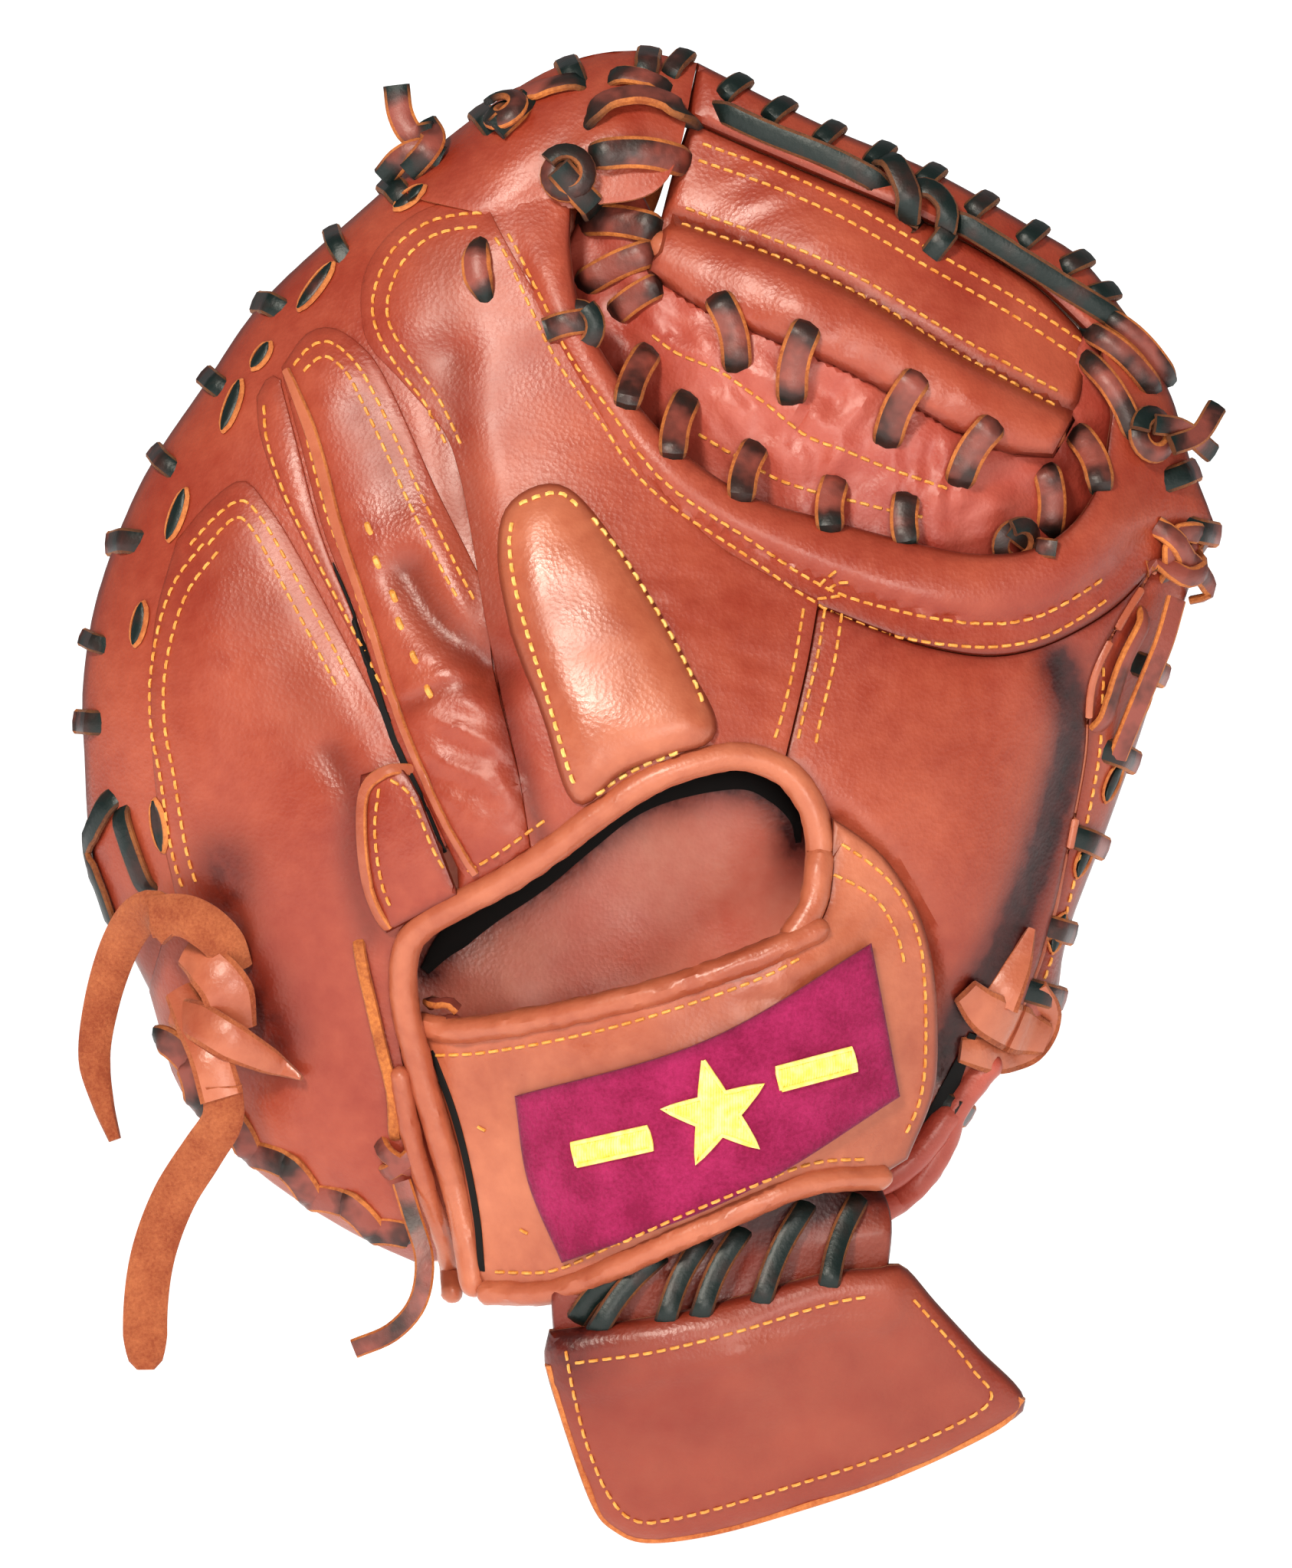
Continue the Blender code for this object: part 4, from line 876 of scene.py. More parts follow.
def build_back():
    """The leathers on the back of the hand."""
    inner = [(-34, 166), (-27, 150), (-24, 130), (-26, 108), (-29, 85), (-26, 55), (-30, 22), (-45, 2),
             (-75, -14), HEEL[-1]]
    border = loop_of(LITTLE_EDGE, [LITTLE_EDGE[-1], inner[0]], inner)
    skin("back_border_skin", border, raised(-0.4), "finger_side", "back_border", edge=2.4)

    pinky = loop_of(PINKY_STALL, STALL_EDGE, [STALL_EDGE[-1], HEEL[-1]], HEEL[:2:-1],
                    [HEEL[3], HEEL_ROLL[-1]], HEEL_ROLL[::-1], [(-52, -27), (-50, -13), (-36, -3)],
                    [(-36, -3), (-44, 18), (-50, 32), PINKY_STALL[0]])
    skin("pinky_back_skin", pinky, raised(0.2), "finger_side", "pinky_back", edge=0.5, puff=1.8, reach=6,
         rim_tone=0.1)

    ring = loop_of([(-51, 38), (-61, 57), (-71, 76), (-79, 92), (-84, 106), (-85, 115)],
                   [(-85, 115), (-82, 120), (-79, 119)], BLACK_SLIT[:7], [BLACK_SLIT[6], (-51, 38)])
    skin("ring_stall_skin", ring, raised(0.5), "finger_side", "ring_stall", edge=0.5, puff=1.0, reach=4,
         rim_tone=0.1)

    slit_right = beside(smooth_run(BLACK_SLIT), 0.8)
    middle = loop_of(MIDDLE_STALL, [(-19, 8), (-27, 3), (-36, -3)], slit_right[::-1])
    skin("middle_stall_skin", middle, raised(0.5), "finger_side", "middle_stall", edge=0.5, puff=1.7,
         reach=5, rim_tone=0.1, spacing=1.6)

    crease = smooth_run(INDEX_CREASE)
    stall_edge = smooth_run(INDEX_STALL)

    def over_crease(points):
        near = np.exp(-(distance(points, crease, closed=False) / 9.0) ** 2)
        inward = distance(points, stall_edge, closed=False)
        fade = np.clip((126 - points[:, 1]) / 26, 0, 1)
        return 1.9 * near * fade + 1.6 * (1 - np.exp(-(inward / 6.0) ** 2))

    index = loop_of(INDEX_STALL, [(-30, 160), (-25, 150), (-15, 133), (-7, 121), (3, 105), (12, 91)],
                    [(12, 91), (23, 80), (34, 73), (48, 66)], T_SEAM, [(40, 29), (32, 32), (24, 31)],
                    [(24, 31), (12, 28), (-4, 17), (-19, 8)], [(-19, 8), (-22, 26), (-27, 48)])
    skin("index_stall_skin", index, raised(0.2, over_crease), "finger_side", "index_stall", "knuckle_panel",
         edge=0.25, rim_tone=0.06, spacing=1.8)

    thumb = loop_of(T_SEAM, OPENING_END, [(64, -60), (78, -57), (88, -46)], THUMB_SEAM[::-1],
                    COLLAR_LOW[:7:-1])
    covered = inset(loop_of([(46, -12), (51, 14), (57, 10), (63, 5), (68, -2), (72, -10), (75, -22),
                             (76, -36), (75, -50), (69, -64), (46, -70), (46, -12)]), -4.0)

    def under_strap(points):
        depth = np.where(inside(points, covered), distance(points, covered), 0)
        return -3.4 * (1 - np.exp(-(depth / 3.0) ** 2))

    skin("thumb_back_skin", thumb, raised(0.6, under_strap), "fold", "thumb_back_inner", "thumb_back_outer",
         puff=0.6, reach=5)

    outer = loop_of(THUMB_EDGE[3:-4], [THUMB_EDGE[-5], THUMB_SEAM[-1]], THUMB_SEAM[::-1],
                    [THUMB_SEAM[0], THUMB_EDGE[3]])
    skin("thumb_outer_skin", outer, raised(0.0), "thumb_side", "thumb_outer_panel", edge=2.2)

    inner_edge = smooth_run(COLLAR_INNER)
    low_edge = smooth_run(COLLAR_LOW)

    def padded_collar(points):
        from_inner = distance(points, inner_edge, closed=False)
        from_low = distance(points, low_edge, closed=False)
        share = np.clip(from_inner / (from_inner + from_low + 1e-6), 0, 1)
        roll = np.sqrt(np.clip(1 - ((share - 0.3) / 0.34) ** 2, 0, 1))
        fade = np.clip((164 - points[:, 1]) / 34, 0, 1)
        lifted = 3.4 * roll * np.clip((from_inner + from_low) / 14, 0.4, 1.2) + 1.9
        return lifted * fade ** 2 * (3 - 2 * fade)

    collar = loop_of(COLLAR_LOW, [COLLAR_LOW[-1], THUMB_EDGE[3]], THUMB_EDGE[3::-1],
                     [THUMB_EDGE[0], (116, 127), (117, 118), COLLAR_INNER[-1]], COLLAR_INNER[::-1],
                     [COLLAR_INNER[0], (-12, 168), (-28, 166), COLLAR_LOW[0]])
    skin("collar_skin", collar, raised(-0.4, padded_collar), "fold", "collar_finger", "collar_thumb",
         spacing=2.0)

    def tip_rolls(points):
        joined = distance(points, [(-10, 159), (-28, 157), (-46, 162)], closed=False)
        return (1.4 * (1 - np.exp(-(joined / 16.0) ** 2))
                + ridge(points, [(-44, 160), (-30, 168), (-12, 178), (2, 184)], 1.8, 10.0)
                + ridge(points, [(-10, 166), (-6, 172), (2, 176)], 1.5, 5.0))

    tips = loop_of(TIPS, [TIPS[-1], (12, 165), (-10, 159)], [(-10, 159), (-28, 157)],
                   [(-28, 157), (-46, 162), TIPS[0]])
    skin("fingertip_skin", tips, raised(-0.34, tip_rolls), "finger_side", "fingertip_panel", edge=0.1,
         rim_tone=0.0)

    pad = loop_of(INDEX_PAD)

    def pad_top(points):
        high = back(points) + undulation(points, 0.6, 14.0, 3.0)
        return high + 2.6 + 5.0 * swell(distance(points, pad), 10.0)

    skin("index_pad_skin", pad, pad_top, "finger_side", "index_pad", finishes=("tan", "raw"),
         slot="tan_leather", thick=1.5, edge=1.4, under=lambda points: back(points) + 1.3, spacing=2.0)

    guard = loop_of([(-59, 25), (-60, 12), (-58, -2), (-53, -12)], [(-53, -12), (-36, -3)],
                    [(-36, -3), (-45, 20)], [(-45, 20), (-50, 27), (-59, 25)])
    skin("knuckle_guard_skin", guard, raised(3.4), "finger_side", "knuckle_guard", slot="tan_leather",
         thick=2.2, puff=0.8, reach=5, spacing=2.0)


def build_palm():
    """Palm leather, felt, lining, the strip along the palm's edge and the rim bindings."""
    corner = [PALM_EDGE[-3], (119, 118), (126, 119), THUMB_EDGE[1]]
    outline = inset(loop_of(HEEL, LITTLE_EDGE, TIPS, PALM_EDGE[:-2], corner, THUMB_EDGE[1:]), 0.6)

    def palm_top(points):
        high = palm(points) + undulation(points, 0.8, 20.0, 5.0)
        return high, 0.12 * np.exp(-((points[:, 0] - 20) ** 2 + (points[:, 1] - 55) ** 2) / 60 ** 2)

    skin("palm_leather_skin", outline, palm_top, "fold", "palm_leather_finger", "palm_leather_thumb",
         side="palm", out=-1, edge=2.5, spacing=3.2, under=lambda points: palm(points) + LEATHER)

    edge = loop_of(LINING_EDGE)

    def felt_top(points):
        return np.maximum(lining(points) - 3.0, palm(points) + 5.2)

    skin("palm_felt", inset(edge, -2.0), felt_top, "fold", "palm_padding_finger", "palm_padding_thumb",
         "heel_padding", finishes=("felt", "felt"), slot="felt", side=None, spacing=5.0, edge=1.5,
         under=lambda points: palm(points) + 4.0)

    def lining_top(points):
        high = lining(points) + undulation(points, 1.2, 16.0, 9.0)
        # Painted shade on the lining along the finger hole.
        painted_mouth_shadow = distance(points, smooth_run(FINGER_HOLE), closed=False)
        return high, 0.55 * np.exp(-(painted_mouth_shadow / 6.0) ** 2)

    skin("palm_lining_skin", edge, lining_top, "fold", "palm_lining_finger", "palm_lining_thumb",
         finishes=("lining", "raw"), slot="lining_leather", side="lining", thick=2.0, spacing=3.2)
    # A black strip of painted shadow laid on the lining along the finger hole.
    painted_mouth_shadow = Sweep()
    line = smooth_run(FINGER_HOLE, 1.5)
    path = on(lining, line, 2.5)
    wide = graded(line, (0, 0.1, 0.3, 0.5, 0.88, 1), (2.5, 7.2, 5.8, 5.0, 4.4, 1.4))
    painted_mouth_shadow.ribbon(path, (0, 0, 1), wide, 0.8, crown=0.0)
    painted_mouth_shadow.put("stall_mouths", "finger_side", finishes=("black", "black"), slot="lining_leather")

    web_low = smooth_run(WEB_LOW)

    def crinkled(points):
        high = lining(points) + 8.0 + undulation(points, 1.6, 8.0, 2.0)
        beyond = inside(points, np.vstack((web_low, WEB_B_LINE)))
        under = np.where(beyond, np.clip(distance(points, web_low, closed=False) / 4.0, 0, 1), 0.0)
        under = under ** 2 * (3 - 2 * under)
        high = high * (1 - under) + np.minimum(high, WEB(points) - 10.4) * under
        zones = [(50, 106, 17, 1.0, 70, 4.2), (26, 112, 14, 0.9, -50, 4.0), (74, 94, 12, 0.9, 80, 3.8),
                 (8, 128, 13, 0.9, -40, 4.0), (92, 88, 12, 0.7, 20, 3.8)]
        return high + folds(points, zones), 0.05 * np.ones(len(points))

    strip = loop_of([(-4, 166), (6, 164), (12, 153), (24, 143), (44, 133), (64, 124), (84, 112),
                     (100, 108), (107, 120), (113, 131), (122, 128)],
                    [(122, 128), (124, 106)], beside(smooth_run(COLLAR_INNER[1:-1]), -3.0)[::-1],
                    [(-13, 148), (-4, 166)])
    skin("palm_edge_skin", strip, crinkled, "fold", "palm_edge_strip", finishes=("strip", "strip"),
         slot="edge_leather", thick=2.0, spacing=1.5)

    line = smooth_run(HEEL[:5], 3.0)
    low = palm(line) + 1.5
    facing = Sweep()
    facing.wall(line, low, np.maximum(lining(line) - 1.0, low + 3.0),
                ((2.0, 0.0), (0.2, 0.1), (0.0, 0.5), (0.6, 0.9), (4.0, 1.0), (9.0, 1.0)))
    facing.put("heel_facing", "fold", finishes=("lining",), slot="lining_leather")
    stretches = (("finger", (HEEL[3:], LITTLE_EDGE, TIPS[:-1])), ("thumb", (THUMB_EDGE[2:-1],)))
    for word, runs in stretches:
        line = np.vstack([smooth_run(run, 3.0)[bool(number):] for number, run in enumerate(runs)])
        band = Sweep()
        band.wall(line, np.full(len(line), PALM_RIM + 2.2), RIM_BACK(line) - 1.6,
                  ((4.8, 0.0), (1.0, 0.0), (0.3, 0.12), (0.0, 0.35), (-0.1, 0.6), (0.4, 0.88), (1.2, 1.0),
                   (4.8, 1.0)))
        band.put(f"rim_binding_{word}_skin", f"{word}_side", f"rim_binding_{word}", finishes=("shell",),
                 slot="edge_leather")


def build_web():
    """The web: its back leather rolled over the stuffed roll, its front leather and its top strip."""
    body = loop_of([(18, 181), (14, 168), WEB_LOW[0]], WEB_LOW, [WEB_LOW[-1], (110, 112), (114, 128)],
                   [(114, 128), (98, 143), (74, 156), (48, 167), (18, 181)])
    upper = smooth_run(WEB_B)
    lower = smooth_run(WEB_LOW)

    def web_top(points):
        from_low = distance(points, lower, closed=False)
        from_row = distance(points, upper, closed=False)
        below = np.clip(from_low / (from_low + from_row + 1e-6), 0, 1)
        beyond = inside(points, np.vstack((upper, lower[::-1])))
        roll = np.where(beyond, 6.0 * np.sqrt(np.clip(1 - ((below - 0.42) / 0.58) ** 2, 0, 1)), 0.0)
        high = WEB(points) + roll - 1.4 * np.exp(-(from_row / 1.4) ** 2) + undulation(points, 0.6, 12.0, 4.0)
        zones = [(40, 122, 16, 0.5, 60, 4.0), (75, 112, 14, 0.5, 70, 4.0), (35, 165, 18, 0.3, 20, 5.0)]
        # Painted shade: darker along the groove at the stitched row.
        tone = 0.25 * np.exp(-(from_row / 1.8) ** 2)
        return high + folds(points, zones), tone

    skin("web_back_skin", body, web_top, "fold", "web_back_panel_finger", "web_back_panel_thumb", thick=2.5,
         edge=2.4, spacing=1.8)

    def front_top(points):
        return WEB(points) - 8.5 + undulation(points, 0.5, 16.0, 6.0)

    skin("web_front_skin", inset(body, 1.0), front_top, "fold", "web_front_panel_finger",
         "web_front_panel_thumb", side="palm", out=-1, thick=2.5, edge=1.0, spacing=3.0)

    strip = loop_of([TIPS[-1], (17, 181)], [(17, 181), (48, 167), (74, 156), (98, 143), (115, 128)],
                    [(115, 128), WEB_TOP[-1]], WEB_TOP[::-1])

    def strip_top(points):
        d = distance(points, strip)
        return WEB(points) + 0.8 + 2.2 * swell(d, 6.0) + undulation(points, 0.4, 10.0, 8.0)

    skin("web_top_skin", strip, strip_top, "fold", "web_top_strip_finger", "web_top_strip_thumb", edge=2.0,
         spacing=1.8, under=lambda points: WEB(points) - 7.5)

    roll = Sweep()
    middle = smooth_run([(12, 150), (24, 143), (42, 134), (62, 125), (80, 114), (92, 108), (103, 106)])
    roll.tube(on(WEB, middle, -1.6), 8.4, 8.0, rough=0.06)
    roll.put("web_roll_core", "fold", "web_roll_finger", "web_roll_thumb", finishes=("tan",),
             slot="tan_leather")


def build_openings():
    """The bindings round the hand opening and down the heel."""
    line = smooth_run([(-33, -95), (-36, -78), (-41, -60), (-46, -42), (-49, -28), (-48.5, -16),
                       (-44, -10), (-35.5, -5), (-24, 1), (-13, 8.5), (-2, 16.8), (9, 23.8), (20.5, 28),
                       (30, 29.3), (39.5, 26), (45.5, 19), (48, 10), (47.5, 1), (46, -6), (42, -12)], 1.5)
    path = np.column_stack((line, np.maximum(back(line) + 0.4, STRAP(line) - 2.0 - 30.0 * (line[:, 1] > 5))))
    roll = Sweep()
    roll.tube(path, 6.8, 7.4, rough=0.1, seed=2.0, sides=16)
    roll.put("opening_binding_skin", "finger_side", "opening_binding", finishes=("tan",),
             slot="tan_leather")
    line = smooth_run([(-50, -46), (-48, -58), (-44.5, -72), (-40, -87), (-38.5, -98)], 1.5)
    path = on(back, line, 1.6)
    roll = Sweep()
    roll.tube(path, 5.2, 6.0, rough=0.14, seed=5.0)
    roll.put("heel_roll_skin", "finger_side", "heel_roll_finger", finishes=("tan",), slot="shell_leather")
    heel = Sweep()
    for points in ([(89, -44), (81, -54), (78, -63), (71, -73), (60, -80), (48, -81), (38, -77)],
                   [(79, -56), (72, -65), (64, -71), (54, -74), (44, -73)]):
        line = smooth_run(points, 1.5)
        heel.tube(on(back, line, 1.0), 7.0, 7.0, rough=0.08, seed=8.0)
    heel.put("thumb_heel_roll", "thumb_side", finishes=("strip",), slot="tan_leather")
    # A black strip of painted shadow in the groove between the strap's end and the thumb's heel roll.
    shade = Sweep()
    path, normals = touch(smooth_run([(85, -36), (80, -48), (75, -58), (69, -68)], 1.5), 0.4)
    shade.ribbon(path, normals, graded(path, (0, 0.4, 1), (2, 4.5, 3)), 0.6, crown=0.0)
    shade.put("thumb_heel_gap", "thumb_side", finishes=("black", "black"), slot="shell_leather")
    piping = Sweep()
    line = smooth_run(THUMB_SEAM, 1.5)
    path, normals = touch(line, 0.3)
    piping.tube(path, 2.2, 2.6, facing=normals, sides=10)
    piping.put("thumb_piping", "thumb_side", finishes=("tan",), slot="shell_leather")


# ---------------------------------------------------------------- the strap and the flap

STRAP_TOP = [(-45, -34), (-35, -35), (-13, -31), (11, -25), (34, -17), (47, -11)]
STRAP_LOW = [(-29, -97), (-14, -96), (2, -89), (23, -79), (45, -70), (62, -69)]
PATCH = [
    [(-23, -50), (22, -36), (60, -14)], [(60, -14), (67, -50)], [(67, -50), (30, -72), (-12, -89)],
    [(-12, -89), (-20, -70), (-23, -50)],
]
FLAP_HUMP = [(-15, -105), (5, -102), (20, -99), (35, -95), (50, -91), (62, -90)]
FLAP_EDGE = [
    (62, -90), (68, -90), (76, -99), (86, -110), (97, -122), (91, -129), (68, -140), (45, -148),
    (24, -154), (8, -156), (0, -153), (-5, -147), (-11, -130), (-16, -113), (-15, -105),
]


def build_strap():
    """The wrist strap's face, its two bindings and the felt patch."""
    face = loop_of(STRAP_TOP, [STRAP_TOP[-1], (50, -4), (51, 6)],
                   [(51, 15), (57, 11), (63, 6), (68, -1), (72, -9), (75, -21), (76, -36), (75, -50),
                    (69, -65)],
                   [(69, -65), (62, -69)], STRAP_LOW[::-1],
                   [(-29, -97), (-32, -93), (-34, -78), (-36.5, -64), (-41, -50), (-46, -38), (-45, -34)])

    def strap_top(points):
        zones = [(38, -18, 15, 0.9, 20, 3.6), (-15, -40, 12, 0.4, 0, 3.6), (62, -10, 14, 0.4, 60, 5.0)]
        return STRAP(points) + folds(points, zones) + undulation(points, 0.6, 16.0, 7.0)

    skin("strap_face", face, strap_top, "wrist_strap", "strap_leather", finishes=("tan", "raw"),
         slot="tan_leather", spacing=2.0)
    for name, points, wide, node in (("strap_top_roll", STRAP_TOP, 6.4, "strap_top_binding"),
                                     ("strap_low_roll", STRAP_LOW, 6.2, "strap_low_binding")):
        line = smooth_run(points, 1.5)
        roll = Sweep()
        roll.tube(on(STRAP, line, -1.4), wide, 8.4, rough=0.12, seed=wide, sides=16)
        roll.put(name, "wrist_strap", node, finishes=("tan",), slot="tan_leather")

    def patch_top(points):
        return STRAP(points) + 3.0 + undulation(points, 0.5, 20.0, 1.0)

    skin("strap_patch_felt", loop_of(*PATCH), patch_top, "wrist_strap", "strap_patch",
         finishes=("patch", "patch"), slot="patch_felt", thick=1.8, edge=0.8, spacing=2.2)


def build_flap():
    """The padded wrist flap as one stuffed pillow, and the laced tongue along its top."""
    body = loop_of(FLAP_HUMP, FLAP_EDGE)
    hump = smooth_run(FLAP_HUMP)

    def half(points):
        fat = 0.8 + 4.6 * swell(distance(points, body), 15.0)
        return fat + 3.2 + ridge(points, [(-6, -113), (20, -106), (48, -98), (60, -97)], 2.4, 9.0)

    def flap_top(points):
        zones = [(8, -138, 18, 0.6, -20, 4.5), (60, -125, 22, 0.4, -30, 7.0)]
        groove = distance(points, smooth_run(beside(hump, -9.0)), closed=False)
        high = HANGING(points) + half(points) + folds(points, zones) + undulation(points, 0.9, 18.0, 3.0)
        # The flap darkens a little all over, more along the hump as painted shadow, and most at the corner by
        # the strap's end as painted shadow.
        wear_and_hump_shade = np.exp(-(distance(points, hump, closed=False) / 3.0) ** 2)
        corner = np.exp(-((points[:, 0] + 12) ** 2 + (points[:, 1] + 106) ** 2) / 13 ** 2)
        return high - 0.9 * np.exp(-(groove / 2.5) ** 2), 0.13 + 0.08 * wear_and_hump_shade + 0.3 * corner

    def flap_low(points):
        return HANGING(points) - half(points) * 0.9 + undulation(points, 0.8, 18.0, 13.0)

    flap = panel("flap_pillow", body, flap_top, ("shell", "raw"), edge=1.6, spacing=2.2, side="back",
                 under=flap_low)
    for polygon in flap.data.polygons:
        if polygon.normal.y > 0.4:
            polygon.material_index = 0
    fix(flap, "wrist_flap", "shell_leather", "flap_face", "flap_padding", "flap_back")
    tongue = loop_of([(-14, -107), (-14, -95), (-8, -90), (8, -83), (26, -74), (44, -67), (60, -66)],
                     [(60, -66), (65, -78), (64, -94)], [(64, -94), (36, -99), (5, -106), (-14, -107)])

    def tongue_top(points):
        hung = HANGING(points) + 1.2
        tucked = np.minimum(hung, STRAP(points) - 7.0)
        # Painted shade: the tongue darkens all over, and most where it tucks up under the strap.
        up = np.clip((points[:, 1] + 94 - 0.2 * points[:, 0]) / 14, 0, 1)
        high = hung * (1 - up) + tucked * up + folds(points, [(20, -94, 24, 0.8, 70, 5.0)])
        return high, 0.24 + 0.5 * up

    skin("flap_tongue_strip", tongue, tongue_top, "flap_laces", "flap_tongue", thick=2.6, spacing=2.0)
    band = Sweep()
    line = smooth_run(FLAP_EDGE[4:-1], 1.5)
    path = np.column_stack((beside(line, -1.2), HANGING(beside(line, -1.2)) + 4.0))
    band.ribbon(path, (0, 0, 1), 2.4, 3.0)
    band.put("flap_edge_band", "wrist_flap", finishes=("raw", "raw"), slot="shell_leather")


# ---------------------------------------------------------------- stitching

def stitch_rows():
    """Every row of golden thread on the back, and the cream thread of the index pad."""
    on_body = Sweep()
    rows = [
        # The inner border rows along the little-finger side.
        [(-97, 80), (-104, 71), (-108, 60), (-110, 46), (-109.5, 35), (-107.5, 25), (-104.5, 6), (-101, -5)],
        [(-93.5, 78), (-100.5, 69), (-104.5, 58), (-106.5, 46), (-106, 35), (-104, 25), (-101, 7),
         (-97.5, -4)],
        # The index stall.
        [(-31, 158), (-38, 157.5), (-45, 155.5), (-52, 150), (-56, 142), (-57, 135), (-55, 128),
         (-50, 120), (-44, 112), (-38, 100)],
        [(-32, 154.5), (-38, 154), (-44, 152), (-49.5, 147), (-52.5, 141), (-53.5, 135), (-52, 129.5),
         (-47, 122), (-41, 113.5), (-35, 101)],
        # The middle stall.
        [(-76, 122), (-72, 126.5), (-67, 127.5), (-61, 122.5), (-56.5, 115), (-50.5, 102.5), (-45.5, 91.5),
         (-40.5, 81.5), (-36.5, 73.5), (-32, 65)],
        [(-73.5, 120.5), (-70.5, 123.3), (-67.5, 124), (-63, 120), (-59.5, 113.5), (-53.5, 101),
         (-48.5, 90), (-43.5, 80), (-39.5, 72), (-35, 64)],
        [(-74.5, 114), (-71, 99), (-67, 85), (-62.5, 74), (-58.5, 62), (-53, 47), (-48, 33), (-41, 18),
         (-33, 3)],
        # The ring stall and the pinky.
        [(-83, 113), (-82, 104), (-77.5, 91), (-69.5, 75), (-60, 57), (-52, 42)],
        [(-62, 48), (-69, 61), (-78.5, 78), (-83.5, 86), (-88, 90), (-94, 86.5), (-101, 79)],
        [(-65, 46), (-72, 59), (-81, 75.5), (-85, 82.5), (-88.5, 86), (-92.5, 83.5), (-98, 77)],
        # Beside the hand opening.
        [(-34, 2.5), (-28, 6), (-22, 10), (-15, 15)],
        # The collar's two rows.
        [(-28, 152), (-25, 147), (-19.5, 135), (-15, 125.5), (-10.8, 118.5), (-3, 108), (4.5, 96.5),
         (14, 87.5), (30, 77), (43.5, 67.5), (53, 62.5), (63, 58.5), (74, 56), (88, 55), (100, 57),
         (110, 62), (118, 67.5)],
        [(-25, 153), (-22, 147.5), (-16.5, 136.5), (-12, 127), (-7.8, 120), (0, 109.5), (7.5, 98.5),
         (16.5, 90), (32, 80), (45.5, 71), (55, 66.5), (66, 63.5), (76, 61.5), (88, 60.5), (99, 62),
         (109, 67), (117, 72.5)],
        # The T seam.
        [(49.5, 64), (47.5, 52), (44.5, 40), (42.5, 31)],
        [(53.5, 63), (51.5, 51), (48.5, 39), (46.5, 29)],
        [(44.5, 64), (42, 50), (39, 38), (37, 32)],
        [(48, 69), (51, 72), (54, 73.5)],
        [(50, 68), (53, 70), (57, 70)],
        [(47.5, 66), (51, 66.5), (55, 67)],
        # The web.
        [(21, 175), (38, 168.5), (55, 160.5), (75, 149), (95, 138), (112, 127.5)],
        [(20, 171), (37, 164.5), (54, 156.5), (74, 145), (94, 134), (111, 123.5)],
        [(17, 159.5), (40, 150.5), (60, 141), (80, 129), (98, 119.5), (107, 115)],
        [(16, 155.5), (40, 146.5), (60, 137), (80, 125), (98, 115.5), (106, 111.5)],
        # The palm edge strip.
        [(9, 129), (15, 124.5), (25, 120), (35, 113), (45, 105), (55, 101), (65, 97), (75, 93.5), (82, 91)],
        [(20, 105.5), (36, 96), (46, 92), (56, 89.5), (66, 87), (76, 85)],
        # The thumb's edge.
        [(116, 54), (116, 44), (115.5, 30), (112.5, 13), (107.5, -9), (101, -27)],
    ]
    for row in rows:
        on_body.stitches(row)
    on_body.put("body_stitching", "fold", finishes=("thread",), slot="shell_leather")

    pad = Sweep()
    for row in ([(-23.5, 84), (-24, 78), (-22.5, 68), (-19.5, 57), (-16, 46), (-13, 36), (-10, 26),
                 (-8, 21)],
                [(-22, 88), (-17, 90), (-12, 90.5), (-7, 86.5)],
                [(-5, 85), (2, 76), (8, 66.5), (13.5, 57), (18.5, 47), (22, 38.5)],
                [(-4, 20.5), (3, 25), (10, 28.5), (18, 31.5)]):
        pad.stitches(row, long=2.5, gap=0.7, thick=1.0)
    pad.put("index_pad_stitching", "finger_side", finishes=("cream",), slot="tan_leather")

    guard = Sweep()
    guard.stitches([(-54.5, 22), (-55.5, 12), (-54, 0), (-51, -8)])
    guard.stitches([(-52, 24), (-47, 20), (-42, 8), (-37.5, 0)])
    guard.put("guard_stitching", "finger_side", finishes=("thread",), slot="tan_leather")
    edge = Sweep()
    edge.strip([(-47, 26), (-52, 26), (-57.5, 22), (-58.5, 12), (-57, -1), (-53, -11)], 0.5, 3.0, 1.2,
               dip=0.5)
    edge.put("guard_edge", "finger_side", finishes=("tan", "raw"), slot="tan_leather")

    strap = Sweep()
    for row in ([(-42, -41), (-30, -40), (-10, -36), (10, -30.5), (33, -22.5), (44, -17)],
                [(53, 9), (59, 5), (64.5, 0), (69, -7), (72, -17), (73, -35), (72, -50), (67, -62)],
                [(51, 2), (57, -1), (62, -5), (66, -12), (68.5, -22)],
                [(-28, -92), (-14, -91), (2, -83.5), (23, -74), (45, -65.5), (60, -64.5)],
                [(-32, -57.5), (-30, -58.5)], [(-22, -81.5), (-20, -82.5)]):
        strap.stitches(row)
    strap.put("strap_stitching", "wrist_strap", finishes=("thread",), slot="tan_leather")
    # A black strip of painted shadow along the strap's end, between it and the opening's binding.
    shade = Sweep()
    shade.strip([(-43, -40), (-38, -53), (-34.5, -66), (-32, -80), (-31, -92)], 0.2, 1.8, 0.6, crown=0.0,
                dip=0.3)
    shade.put("strap_end_gap", "wrist_strap", finishes=("black", "black"), slot="tan_leather")

    flap = Sweep()
    for row in ([(-11, -109), (-9, -120), (-6, -132), (-1, -144), (5, -150), (15, -149.5), (40, -142.5),
                 (68, -133), (88, -122.5), (84, -114), (75, -103), (68, -95)],
                [(-9, -112), (10, -109), (30, -104), (50, -98), (62, -96)]):
        flap.stitches(row)
    flap.put("flap_stitching", "wrist_flap", finishes=("thread",), slot="shell_leather")


